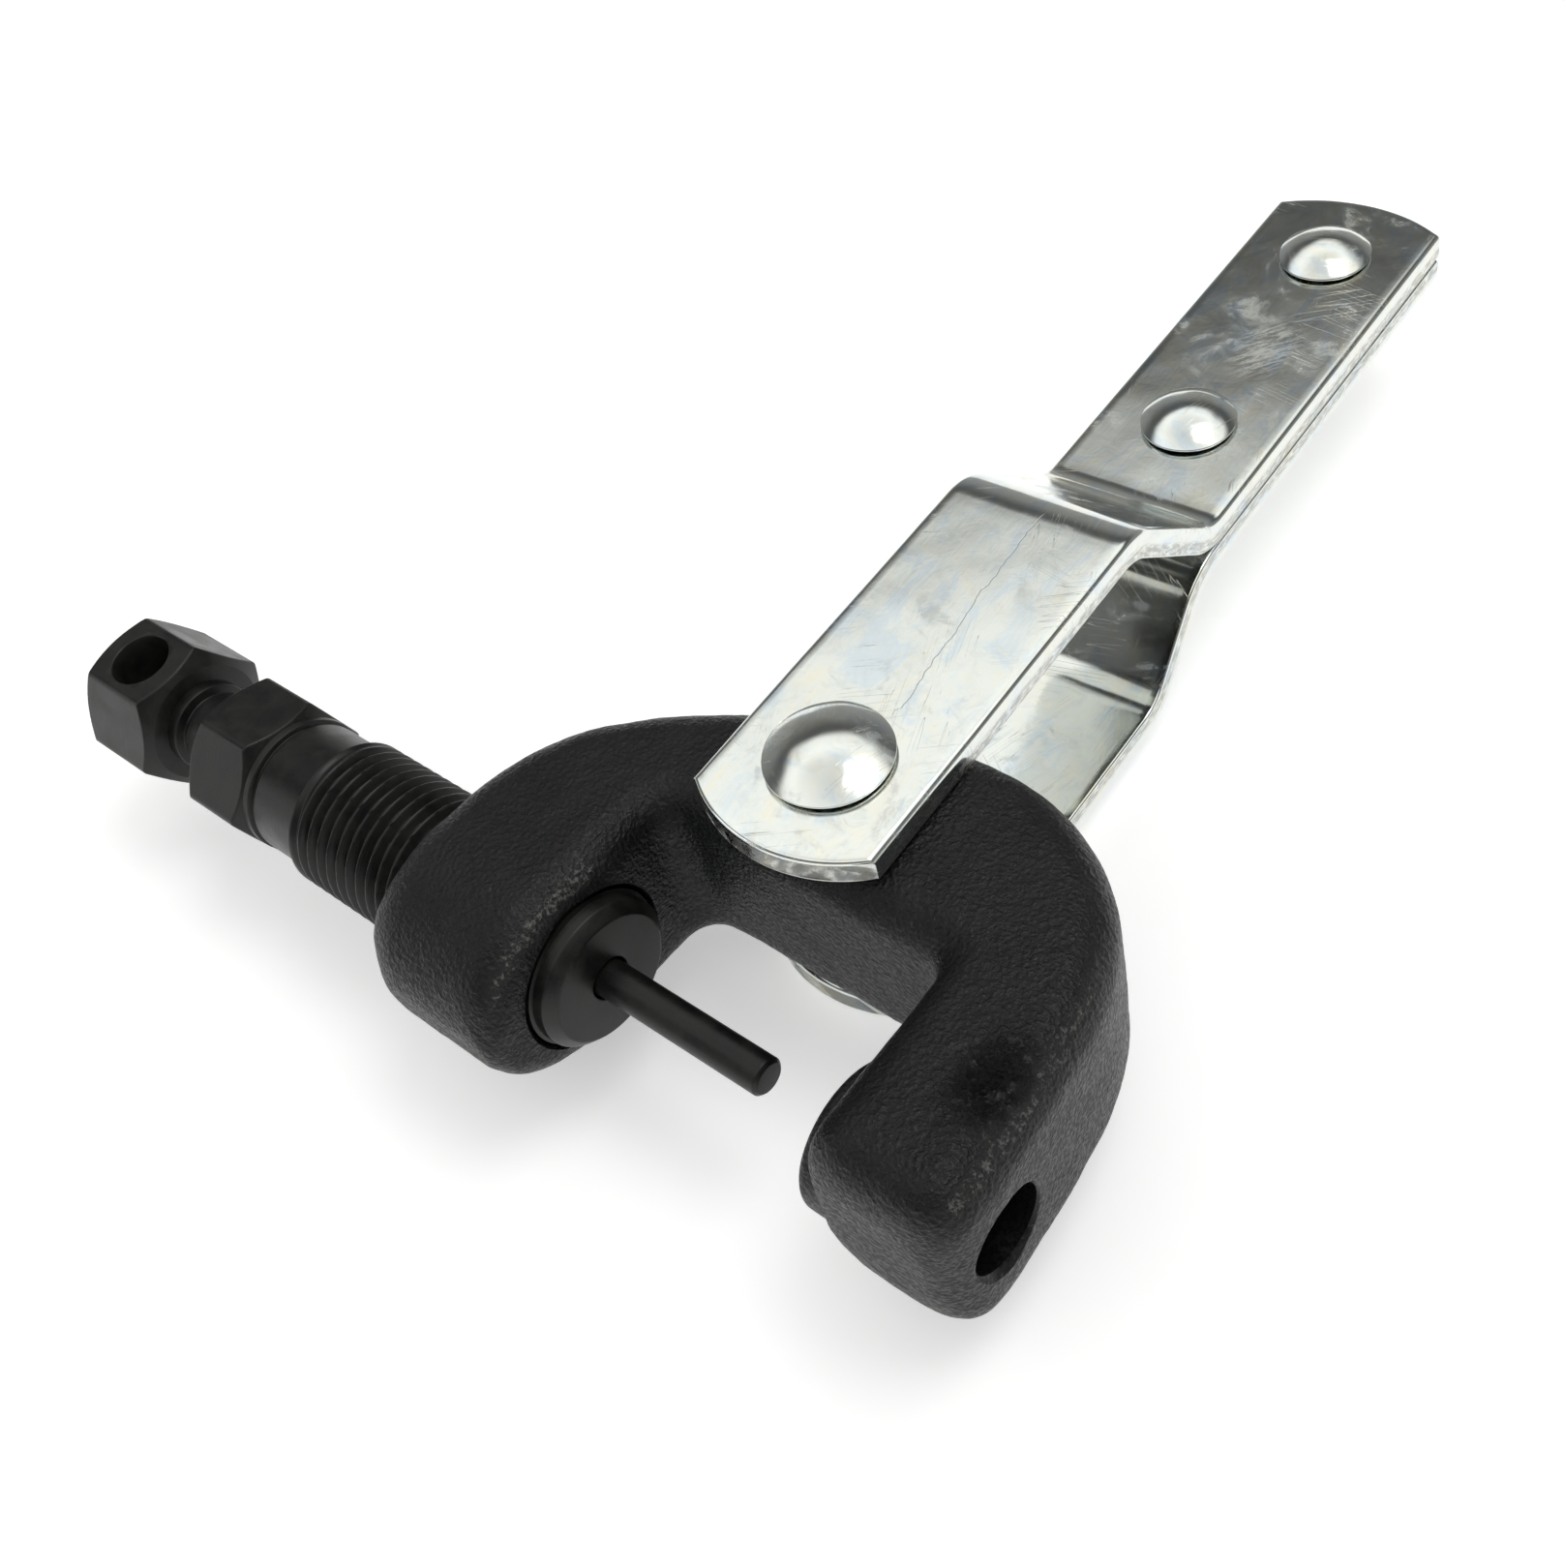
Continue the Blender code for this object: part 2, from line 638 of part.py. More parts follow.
clear_scene()
PARTS = new_collection("chain_tool")
CUTTERS = new_collection("cutters")
BLACK_CAST = new_material("black_cast", (0.012, 0.012, 0.013), 0.55, 0.1)
BLACK_OXIDE = new_material("black_oxide", (0.02, 0.02, 0.021), 0.38, 0.6)
ZINC = new_material("zinc_plate", (0.62, 0.64, 0.65), 0.3, 1.0)
SPRING_STEEL = new_material("spring_steel", (0.35, 0.35, 0.36), 0.35, 1.0)
main()
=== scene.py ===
"""Looks of the chain tool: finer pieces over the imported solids, their materials, studio and camera.

Lengths are in millimetres. Places in plan are measured from the handle's pivot, stations along the screws
too, with +X towards the anvil jaw. Stations along the handle run from the pivot to its rear end.
"""

import json
import math

import bpy
import numpy as np
from mathutils import Matrix, Vector, noise


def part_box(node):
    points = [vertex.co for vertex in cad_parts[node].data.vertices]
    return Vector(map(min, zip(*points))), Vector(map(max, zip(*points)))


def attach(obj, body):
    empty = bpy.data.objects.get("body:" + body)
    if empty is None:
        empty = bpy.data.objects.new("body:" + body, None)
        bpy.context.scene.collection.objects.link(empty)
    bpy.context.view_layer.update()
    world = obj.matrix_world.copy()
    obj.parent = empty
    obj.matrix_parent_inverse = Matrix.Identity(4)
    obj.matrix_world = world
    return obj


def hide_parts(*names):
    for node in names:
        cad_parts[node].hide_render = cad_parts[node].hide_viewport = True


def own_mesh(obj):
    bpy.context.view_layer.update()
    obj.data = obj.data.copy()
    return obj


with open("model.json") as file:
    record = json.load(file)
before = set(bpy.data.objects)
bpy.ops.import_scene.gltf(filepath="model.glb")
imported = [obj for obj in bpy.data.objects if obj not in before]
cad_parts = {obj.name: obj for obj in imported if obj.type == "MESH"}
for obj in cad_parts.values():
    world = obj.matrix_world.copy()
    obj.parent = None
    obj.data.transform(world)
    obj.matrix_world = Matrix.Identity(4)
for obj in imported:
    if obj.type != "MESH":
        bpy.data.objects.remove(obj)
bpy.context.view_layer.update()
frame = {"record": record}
JOINTS = {joint["name"]: joint for joint in frame["record"]["behaviour"]["joints"]}
PIVOT = Vector(JOINTS["handle_swing"]["pos_m"])
PIN_LOW, PIN_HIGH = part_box("extractor_pin")

MM = 0.001
GAP = 0.3
PITCH = 1.5
SCREW_AXIS_Y = (0.5 * (PIN_LOW.y + PIN_HIGH.y) - PIVOT.y) / MM
ALONG_X = Matrix.Rotation(math.radians(90.0), 4, "Y")
SCREW_FRAME = Matrix.Translation((0.0, SCREW_AXIS_Y, 0.0)) @ ALONG_X
HANDLE_SWING = 2.7
HANDLE_FRAME = Matrix.Rotation(math.radians(90.0 + HANDLE_SWING), 4, "Z")

# Cast frame.
WEB_HALF = 11.1
EDGE_ROUND = 4.3
JAW_OUTER_ROUND = 4.5
JAW_INNER_ROUND = 2.5
THROAT_WALL_Y = -9.3
LEFT_JAW_IN = -13.2
LEFT_JAW_OUT = -32.0
LEFT_JAW_REACH = 13.0
LEFT_JAW_POWER = 2.1
LEFT_FILLET = 3.2
RIGHT_JAW_IN = 18.6
RIGHT_JAW_OUT = 34.0
RIGHT_JAW_REACH = 7.4
RIGHT_JAW_POWER = 4.0
RIGHT_FILLET = 2.5
BOSS_FACE = 17.3
BOSS_RADIUS = 7.2
EXIT_BORE = 4.2
EXIT_DEPTH = 11.0
PIN_HOLE = 2.7
CAST_VOXEL = 0.32
CAST_SHRINK = 0.1
# Height, frequency and shift of each size of lump on the casting.
CAST_LUMPS = (
    (0.09, 0.21, (0.0, 0.0, 0.0)),
    (0.035, 0.75, (31.0, 7.0, 3.0)),
    (0.022, 1.5, (5.0, 11.0, 2.0)),
)
PIT_PLACE = (29.3, -17.2)
PIT_ACROSS = 2.3
PIT_ALONG = 3.3
PIT_DEPTH = 0.75
# Mean, spread, frequency and shift of the craters in the pit.
PIT_CRATERS = (0.6, 0.9, 0.9, (2.0, 17.0, 8.0))

# Where the coating has rubbed thin, and where a highlight is painted along the jaws' ridges, as (start,
# end) of each smooth step.
SHEEN_WEAR_UP = (0.25, 0.7)
SHEEN_WEAR_LEAN = ((0.35, 0.7), (0.82, 0.97))
LEFT_SHEEN_WEAR_X = ((12.0, 13.0), (17.0, 19.0))
LEFT_SHEEN_WEAR_Y = (-20.0, -13.0)
RIGHT_SHEEN_WEAR_X = (27.0, 30.0)
RIGHT_SHEEN_WEAR_Y = (-8.0, 4.0)
RIGHT_SHEEN_WEAR = 0.9
RIM_WEAR_X = (26.0, 30.0)
RIM_WEAR_Y = (-24.0, -17.0)
RIM_WEAR = 0.6

# Screws, pin and spring.
SCREW_CLEARANCE = 0.25
PRESSURE_THREAD_DEPTH = 0.92
DRIVE_THREAD_DEPTH = 0.85
THREAD_STEPS = 14
PRESSURE_RADIUS = 8.0
PRESSURE_TIP = -11.0
NOSE_RADIUS = 7.65
NOSE_LENGTH = 2.3
SHANK_RADIUS = 7.2
THREAD_START = -48.5
PRESSURE_HEX_FRONT = -56.6
PRESSURE_HEX_BACK = -66.7
PRESSURE_HEX_ANGLE = 50.5
HEX_ACROSS_FLATS = 15.0
HEX_CHAMFER_RADIUS = 6.6
HEX_CHAMFER_LENGTH = 1.5
HEX_EDGE_LOSS = 0.12
HEX_EDGE_BLEND = 0.09
COLLAR_LIP = 0.22
DRIVE_RADIUS = 4.95
DRIVE_NECK_RADIUS = 4.5
DRIVE_THREAD_START = -69.0
DRIVE_TIP = -38.3
DRIVE_HEX_FRONT = -73.9
DRIVE_HEX_BACK = -86.0
DRIVE_HEX_ANGLE = 4.8
CROSS_HOLE_X = -80.1
CROSS_HOLE_RADIUS = 3.3
PIN_RADIUS = 1.9
PIN_HEAD_RADIUS = 4.5
PIN_HEAD_LENGTH = 3.0
GUIDE_LENGTH = 3.8
SPRING_CHAMBER_RADIUS = 3.9
SPRING_CHAMBER_BACK = -24.0
SPRING_RADIUS = 2.95
SPRING_WIRE = 0.4
SPRING_TURNS = 6

# Handle strips and rivets.
STRIP_THICKNESS = 3.0
STRIP_HALF_WIDTH = 10.0
STRIP_TOP_ROLL = 0.75
STRIP_BURR_ROUND = 0.3
STRIP_END_ROLL = 0.5
STRIP_WAVE = 0.05
STRIP_SHRINK = 0.02
UPPER_APEX = -11.0
LOWER_APEX = -8.0
FRONT_END_RADIUS = 15.5
REAR_APEX = 105.36
REAR_END_RADIUS = 19.0
FRONT_RIVET = 63.0
REAR_RIVET = 94.4
BEND_RADIUS = 6.6
UPPER_JOGGLE = (35.9, 49.4)
LOWER_JOGGLE = (38.0, 47.5)
PIVOT_SHANK = 4.0
PIVOT_HEAD = 6.15
HANDLE_SHANK = 3.0
HANDLE_HEAD = 5.15
HEAD_HEIGHT = 2.1
HEAD_RIM = 0.35
HEAD_SHRINK = 0.012

# Marks on the strips, in millimetres along, across and through the drawn strip. The upper strip's pattern
# starts at one place and the lower's at another, so that they differ.
DRAWN_START = {1.0: 20.0, -1.0: -180.0}
SCRATCH_START = 38.7
SCRATCH_END = 66.0
SCRATCH_SIDE = -3.4
SCRATCH_LEAN = 0.07
SCRATCH_WANDER = 2.4
SCUFF_PLACE = (112.0, -1.5, 1.5)

# Colours, linear.
CAST_BLACK = (0.0032, 0.0035, 0.0036)
CAST_GREY = (0.0065, 0.007, 0.0068)
# Dust on the ridges, and also the painted highlight along them.
CAST_DUST_AND_SHEEN = (0.032, 0.032, 0.031)
CAST_TRIMMED = (0.011, 0.0125, 0.015)
CAST_PIT = (0.0008, 0.0008, 0.0008)
CAST_METAL = (0.22, 0.215, 0.205)
OXIDE_BLACK = (0.005, 0.0052, 0.005)
OXIDE_BROWN = (0.0125, 0.012, 0.0105)
OXIDE_SPECK = (0.06, 0.057, 0.05)
ZINC_BLUE = (0.70, 0.76, 0.80)
ZINC_PLAIN = (0.79, 0.81, 0.775)
ZINC_STRAW = (0.83, 0.81, 0.715)
ZINC_BLOTCH = (0.56, 0.575, 0.565)
ZINC_TORN = (0.3, 0.29, 0.27)
ZINC_SCRATCH = (0.42, 0.42, 0.41)
SPRING_DARK = (0.26, 0.26, 0.27)
SPRING_LIGHT = (0.4, 0.4, 0.41)

# Direction, wavelength and width of each family of hairlines.
HAIRLINES = ((12.0, 0.05, 0.006), (-34.0, 0.035, 0.004), (71.0, 0.06, 0.003))

# Studio, in metres and watts. A part of the sky lists (height of the direction, grey).
FLOOR_HALF = 2.5
FLOOR_GLOW = 0.42
SKY_TINT = (0.985, 1.0, 0.975)
DARK_SKY = ((0.0, 0.33), (0.3, 0.24), (0.5, 0.1), (0.605, 0.1))
BRIGHT_SKY = ((0.66, 0.5), (0.705, 1.05), (0.8, 1.2), (1.0, 0.8))
SOFTBOXES = (
    ("overhead_softbox", (0.24, 0.2, 0.86), (0.36, 0.36), 1.7),
    ("side_softbox", (-0.7, -0.75, 0.35), (0.5, 0.4), 0.8),
)

# Camera: its place about the pivot in millimetres, and two of its axes.
CAMERA_PLACE = (82.166, -68.086, 134.521)
CAMERA_RIGHT = (0.75482, 0.62585, -0.19635)
CAMERA_UP = (-0.39241, 0.67074, 0.62939)
CAMERA_LENS = 41.98


# Geometry helpers.


def mesh_piece(name, points, faces, place=None):
    """An object from points in millimetres about the pivot, in the row's frame."""
    matrix = Matrix.Translation(PIVOT) @ Matrix.Scale(MM, 4) @ (place or Matrix.Identity(4))
    mesh = bpy.data.meshes.new(name)
    mesh.from_pydata([tuple(point) for point in points], [], [list(face) for face in faces])
    mesh.transform(matrix)
    mesh.update()
    obj = bpy.data.objects.new(name, mesh)
    bpy.context.scene.collection.objects.link(obj)
    return obj


def smooth(obj, degrees):
    obj.data.shade_smooth()
    obj.data.set_sharp_from_angle(angle=math.radians(degrees))


def finish_piece(obj, body, material, slot, *nodes):
    """Gives a piece its look, its body and the solids that it stands for."""
    obj.data.materials.clear()
    obj.data.materials.append(material)
    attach(obj, body)
    if nodes:
        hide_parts(*nodes)


def grid_faces(rings, count, closed):
    """Quads between neighbouring rings, with flat caps, or joined end to start when closed."""
    faces = []
    for ring in range(rings if closed else rings - 1):
        following = (ring + 1) % rings
        for index in range(count):
            after = (index + 1) % count
            here = ring * count
            there = following * count
            faces.append((here + index, here + after, there + after, there + index))
    if not closed:
        faces.append(tuple(reversed(range(count))))
        faces.append(tuple(range((rings - 1) * count, rings * count)))
    return faces


def turned_points(profile, segments, radius_of=None):
    """Rings of points about local Z. A profile point is (station, radius), highest station first."""
    angles = np.arange(segments) * 2.0 * math.pi / segments
    rings = []
    for station, radius in profile:
        radii = radius_of(station, radius, angles) if radius_of else np.full(segments, radius)
        heights = np.full(segments, station)
        rings.append(np.stack([radii * np.cos(angles), radii * np.sin(angles), heights], axis=1))
    return np.concatenate(rings)


def turned_piece(name, profile, segments, closed=False, radius_of=None, place=SCREW_FRAME):
    points = turned_points(profile, segments, radius_of)
    faces = grid_faces(len(profile), segments, closed)
    obj = mesh_piece(name, points, faces, place)
    turn_outward(obj)
    return obj


def turn_outward(obj):
    """Flips a closed mesh whose faces look inward."""
    mesh = obj.data
    mesh.calc_loop_triangles()
    volume = 0.0
    for triangle in mesh.loop_triangles:
        a, b, c = (mesh.vertices[index].co for index in triangle.vertices)
        volume += a.dot(b.cross(c))
    if volume < 0.0:
        mesh.flip_normals()
    mesh.update()


def soften(profile, radius, steps=3):
    """Replaces each corner of a profile by a small arc."""
    points = [Vector(point) for point in profile]
    result = [points[0]]
    for before, corner, after in zip(points, points[1:], points[2:]):
        to_before = before - corner
        to_after = after - corner
        if to_before.angle(-to_after) < math.radians(12.0):
            result.append(corner)
            continue
        start = corner + to_before.normalized() * min(radius, 0.4 * to_before.length)
        end = corner + to_after.normalized() * min(radius, 0.4 * to_after.length)
        for step in range(steps + 1):
            t = step / steps
            result.append(start * (1 - t) ** 2 + corner * 2 * t * (1 - t) + end * t**2)
    result.append(points[-1])
    return [tuple(point) for point in result]


def cut(obj, cutter, operation="DIFFERENCE"):
    """Applies an exact Boolean and removes the cutter."""
    boolean = obj.modifiers.new("cut", "BOOLEAN")
    boolean.operation = operation
    boolean.object = cutter
    boolean.solver = "EXACT"
    apply_modifiers(obj)
    bpy.data.objects.remove(cutter)


def apply_modifiers(obj):
    graph = bpy.context.evaluated_depsgraph_get()
    mesh = bpy.data.meshes.new_from_object(obj.evaluated_get(graph))
    obj.modifiers.clear()
    obj.data = mesh


def mark(obj, name, values):
    attribute = obj.data.attributes.new(name, "FLOAT", "POINT")
    attribute.data.foreach_set("value", np.asarray(values, np.float32))


def rest_points(obj):
    """Points of a piece in millimetres about the pivot."""
    points = np.empty(len(obj.data.vertices) * 3, np.float32)
    obj.data.vertices.foreach_get("co", points)
    return (points.reshape(-1, 3) - np.array(PIVOT)) / MM


def rest_normals(obj):
    normals = np.empty(len(obj.data.vertices) * 3, np.float32)
    obj.data.vertices.foreach_get("normal", normals)
    return normals.reshape(-1, 3)


def ramp_up(values, low, high):
    t = np.clip((values - low) / (high - low), 0.0, 1.0)
    return t * t * (3.0 - 2.0 * t)


def band(values, rise, fall):
    """1 between two smooth steps, each given as (start, end)."""
    return ramp_up(values, *rise) * (1.0 - ramp_up(values, *fall))


# The cast frame.


def spline(points, per_span):
    """Catmull-Rom curve through the points, with per_span steps between neighbours."""
    padded = [2 * points[0] - points[1], *points, 2 * points[-1] - points[-2]]
    result = []
    for before, start, end, after in zip(padded, padded[1:], padded[2:], padded[3:]):
        for step in range(per_span):
            t = step / per_span
            linear = (end - before) * t
            square = (2 * before - 5 * start + 4 * end - after) * t**2
            cube = (3 * start - before - 3 * end + after) * t**3
            result.append(0.5 * (2 * start + linear + square + cube))
    result.append(points[-1])
    return result


def frame_back_outline():
    """Outer edge of the C-frame from the left jaw over the back to the right jaw."""
    points = [
        (LEFT_JAW_OUT, SCREW_AXIS_Y),
        (-31.3, -15.4),
        (-28.5, -8.1),
        (-23.3, -2.3),
        (-16.1, 2.8),
        (-7.0, 7.2),
        (1.5, 9.6),
        (10.4, 10.4),
        (17.0, 9.6),
        (23.4, 6.7),
        (28.4, 2.0),
        (31.6, -4.6),
        (33.0, -12.1),
        (RIGHT_JAW_OUT, SCREW_AXIS_Y),
    ]
    return spline([Vector(point) for point in points], 8)


def arc(centre, radius, start, end, steps):
    points = []
    for step in range(steps + 1):
        angle = math.radians(start + (end - start) * step / steps)
        points.append(centre + radius * Vector((math.cos(angle), math.sin(angle))))
    return points


def throat_outline():
    """Edge of the throat, from the left jaw's screw axis round the wall to the right jaw's."""
    left = Vector((LEFT_JAW_IN + LEFT_FILLET, THROAT_WALL_Y - LEFT_FILLET))
    right = Vector((RIGHT_JAW_IN - RIGHT_FILLET, THROAT_WALL_Y - RIGHT_FILLET))
    points = [Vector((LEFT_JAW_IN, SCREW_AXIS_Y))]
    points += arc(left, LEFT_FILLET, 180.0, 90.0, 14)
    points += arc(right, RIGHT_FILLET, 90.0, 0.0, 14)
    points.append(Vector((RIGHT_JAW_IN, SCREW_AXIS_Y)))
    return points


def spread(points, shares):
    """Points along a polyline at the given shares of its length."""
    steps = [(end - start).length for start, end in zip(points, points[1:])]
    along = np.concatenate([[0.0], np.cumsum(steps)])
    targets = np.array(shares) * along[-1]
    xs = np.interp(targets, along, [point.x for point in points])
    ys = np.interp(targets, along, [point.y for point in points])
    return [Vector(pair) for pair in zip(xs, ys)]


def corner_inset(corner_radius, depth):
    left = max(0.0, corner_radius - depth)
    return corner_radius - math.sqrt(corner_radius**2 - left**2)


def jaw_end(inner_x, outer_x, reach, power):
    """Stations (inner point, outer point, half height) from the tip of a jaw up to the screw axis."""
    stations = []
    side = 1.0 if outer_x > inner_x else -1.0
    steps = 22
    for step in range(steps):
        depth = 0.1 + (reach - 0.1) * (1.0 - math.cos(0.5 * math.pi * step / steps))
        y = SCREW_AXIS_Y - reach + depth
        half = WEB_HALF * (1.0 - (1.0 - depth / reach) ** power) ** (1.0 / power)
        inner = Vector((inner_x + side * corner_inset(JAW_INNER_ROUND, depth), y))
        outer = Vector((outer_x - side * corner_inset(JAW_OUTER_ROUND, depth), y))
        stations.append((inner, outer, half))
    return stations


def frame_stations():
    """Stations all along the C: each pairs a point of the throat's edge with one of the back's edge."""
    back = frame_back_outline()
    last = len(back) - 1
    throat = spread(throat_outline(), [index / last for index in range(last + 1)])
    stations = jaw_end(LEFT_JAW_IN, LEFT_JAW_OUT, LEFT_JAW_REACH, LEFT_JAW_POWER)
    stations += [(inner, outer, WEB_HALF) for inner, outer in zip(throat, back)]
    stations += reversed(jaw_end(RIGHT_JAW_IN, RIGHT_JAW_OUT, RIGHT_JAW_REACH, RIGHT_JAW_POWER))
    return stations


def section(inner, outer, half):
    """Rounded rectangle standing between an inner and an outer point."""
    width = (outer - inner).length
    direction = (outer - inner) / width
    radius = min(EDGE_ROUND, 0.95 * half, 0.45 * width)
    steps = 9
    points = []
    for corner in range(4):
        across = width - radius if corner in (0, 3) else radius
        height = half - radius if corner in (0, 1) else radius - half
        for step in range(steps + 1):
            angle = math.radians(90.0 * (corner + step / steps))
            spot = inner + direction * (across + radius * math.cos(angle))
            points.append((spot.x, spot.y, height + radius * math.sin(angle)))
    return points


def noise_at(points, frequency, shift):
    offset = Vector(shift)
    return np.array([noise.noise(Vector(point) * frequency + offset) for point in points])


def move_points(obj, points):
    """Puts points given in millimetres about the pivot back into a piece."""
    obj.data.vertices.foreach_set("co", (points * MM + np.array(PIVOT)).astype(np.float32).ravel())
    obj.data.update()


def cast_surface(obj):
    """Soft lumps and a coarse grain left by the mould, with one shallow pit on the right jaw's top."""
    points = rest_points(obj)
    normals = rest_normals(obj)
    heights = np.zeros(len(points))
    for height, frequency, shift in CAST_LUMPS:
        heights += height * noise_at(points, frequency, shift)
    mean, deviation, frequency, shift = PIT_CRATERS
    craters = mean + deviation * noise_at(points, frequency, shift)
    heights -= CAST_SHRINK + PIT_DEPTH * pit_share(points, normals) * craters
    move_points(obj, points + normals * heights[:, None])


def pit_share(points, normals):
    """Depth share of the oval pit on the right jaw's top."""
    across = (points[:, 0] - PIT_PLACE[0]) / PIT_ACROSS
    along = (points[:, 1] - PIT_PLACE[1]) / PIT_ALONG
    return np.exp(-(across**2) - along**2) * (normals[:, 2] > 0.3)


def make_cast_frame(material):
    """One casting: the remeshed body first, then the bores that were machined into it."""
    rings = [section(*station) for station in frame_stations()]
    count = len(rings[0])
    points = np.concatenate([np.array(ring) for ring in rings])
    body = mesh_piece("cast_frame", points, grid_faces(len(rings), count, False))
    turn_outward(body)
    remesh = body.modifiers.new("voxels", "REMESH")
    remesh.mode = "VOXEL"
    remesh.voxel_size = CAST_VOXEL * MM
    relax = body.modifiers.new("relax", "SMOOTH")
    relax.factor = 0.5
    relax.iterations = 5
    apply_modifiers(body)
    cast_surface(body)
    boss = [
        (RIGHT_JAW_IN + 3.0, BOSS_RADIUS),
        (BOSS_FACE + 0.6, BOSS_RADIUS),
        (BOSS_FACE, BOSS_RADIUS - 0.6),
        (BOSS_FACE, PIN_HOLE),
    ]
    cut(body, turned_piece("boss_form", soften(boss, 0.45, 5), 72), "UNION")
    bore = PRESSURE_RADIUS + SCREW_CLEARANCE
    screw_bore = [
        (LEFT_JAW_IN + 2.0, bore + 2.4),
        (LEFT_JAW_IN - 0.4, bore),
        (LEFT_JAW_OUT + 1.0, bore),
        (LEFT_JAW_OUT - 2.0, bore + 3.0),
    ]
    cut(body, turned_piece("screw_bore", screw_bore, 96))
    exit_bore = [
        (RIGHT_JAW_OUT + 3.0, EXIT_BORE + 3.7),
        (RIGHT_JAW_OUT - 0.7, EXIT_BORE),
        (RIGHT_JAW_OUT - EXIT_DEPTH, EXIT_BORE),
        (RIGHT_JAW_OUT - EXIT_DEPTH - 1.2, PIN_HOLE),
        (BOSS_FACE + 0.5, PIN_HOLE),
        (BOSS_FACE - 1.0, PIN_HOLE + 1.5),
    ]
    cut(body, turned_piece("exit_bore", exit_bore, 64))
    reach = WEB_HALF + 2.0
    pivot_hole = [(reach, PIVOT_SHANK + GAP), (-reach, PIVOT_SHANK + GAP)]
    cut(body, turned_piece("pivot_hole", pivot_hole, 48, place=Matrix.Identity(4)))
    smooth(body, 40.0)
    mark(body, "wear_and_sheen", frame_wear_and_sheen(body))
    mark(body, "machined", frame_machined(body))
    mark(body, "pit", pit_share(rest_points(body), rest_normals(body)))
    mark(body, "trimmed", frame_trimmed(body))
    finish_piece(body, "frame", material, "black_cast", "c_frame")


def frame_wear_and_sheen(obj):
    """Where the coating has rubbed thin: the jaws' top ridges and the left jaw's outer rim. The ridges
    that lean up and sideways also carry a painted highlight.
    """
    points = rest_points(obj)
    normals = rest_normals(obj)
    x = points[:, 0]
    y = points[:, 1]
    up = ramp_up(normals[:, 2], *SHEEN_WEAR_UP)
    # The ridge share is partly rubbed coating and partly a painted highlight, chosen by how the normal
    # leans.
    ridge = band(np.abs(normals[:, 0]), *SHEEN_WEAR_LEAN) * up
    left = ridge * band(-x, *LEFT_SHEEN_WEAR_X) * (1.0 - ramp_up(y, *LEFT_SHEEN_WEAR_Y))
    right = ridge * ramp_up(x, *RIGHT_SHEEN_WEAR_X) * (1.0 - ramp_up(y, *RIGHT_SHEEN_WEAR_Y))
    rim = up * ramp_up(-x, *RIM_WEAR_X) * (1.0 - ramp_up(y, *RIM_WEAR_Y))
    return np.clip(left + RIGHT_SHEEN_WEAR * right + RIM_WEAR * rim, 0.0, 1.0)


def frame_trimmed(obj):
    """1 on the throat's wall, which is rougher and paler than the rest."""
    points = rest_points(obj)
    facing = ramp_up(-rest_normals(obj)[:, 1], 0.8, 0.97)
    between_jaws = (points[:, 0] > LEFT_JAW_IN) & (points[:, 0] < RIGHT_JAW_IN)
    return facing * (between_jaws & (points[:, 1] > THROAT_WALL_Y - 2.0))


def frame_machined(obj):
    """1 on the walls of the bores."""
    points = rest_points(obj)
    x = points[:, 0]
    radius = np.hypot(points[:, 1] - SCREW_AXIS_Y, points[:, 2])
    left = (x < LEFT_JAW_IN - 0.3) & (x > LEFT_JAW_OUT) & (radius < PRESSURE_RADIUS + 0.3)
    right = (x > BOSS_FACE) & (radius < EXIT_BORE + 0.35)
    return (left | right).astype(np.float32)


# The screws, the pin and its spring.


def threaded(station, radius, angles, depth, low, high):
    """Radius of a right-hand V thread with flattened crests and roots, fading out at both ends."""
    phase = (station / PITCH - angles / (2.0 * math.pi)) % 1.0
    wave = np.abs(2.0 * phase - 1.0)
    groove = np.clip((wave - 0.08) / 0.8, 0.0, 1.0)
    fade = min(1.0, (high - station) / PITCH, (station - low) / (1.3 * PITCH))
    return radius - depth * max(0.0, fade) * (1.0 - groove)


def thread_shape(crest, depth, low, high):
    """A radius function that threads those parts of a profile that lie at the crest's radius."""

    def radius_of(station, radius, angles):
        if radius == crest and low <= station <= high:
            return threaded(station, radius, angles, depth, low, high)
        return np.full(len(angles), radius)

    return radius_of


def thread_stations(high, low, radius):
    steps = math.ceil((high - low) / PITCH * THREAD_STEPS)
    return [(high + (low - high) * step / steps, radius) for step in range(steps + 1)]


def hexed(station, angles, back, front, corner_angle):
    """Radius of a hexagon whose ends are turned off at a chamfer, its edges barely rounded."""
    apothem = 0.5 * HEX_ACROSS_FLATS
    corner = apothem / math.cos(math.radians(30.0))
    # The local X axis points down once the piece lies along the screw axis, so angles run from there.
    offset = np.radians(corner_angle + 90.0)
    sector = (angles - offset) % math.radians(60.0) - math.radians(30.0)
    flat = apothem / np.cos(sector)
    end = min(front - station, station - back)
    slope = (corner - HEX_CHAMFER_RADIUS) / HEX_CHAMFER_LENGTH
    cone = HEX_CHAMFER_RADIUS + slope * end
    limit = min(cone, corner - HEX_EDGE_LOSS)
    mix = np.clip(0.5 + 0.5 * (flat - limit) / HEX_EDGE_BLEND, 0.0, 1.0)
    return flat * (1.0 - mix) + limit * mix - HEX_EDGE_BLEND * mix * (1.0 - mix)


def hex_stations(back, front):
    fine = 30
    ends = [2.2 * HEX_CHAMFER_LENGTH * step / fine for step in range(fine + 1)]
    stations = [front - depth for depth in ends]
    stations += [front + (back - front) * share for share in (0.4, 0.5, 0.6)]
    stations += [back + depth for depth in reversed(ends)]
    return stations


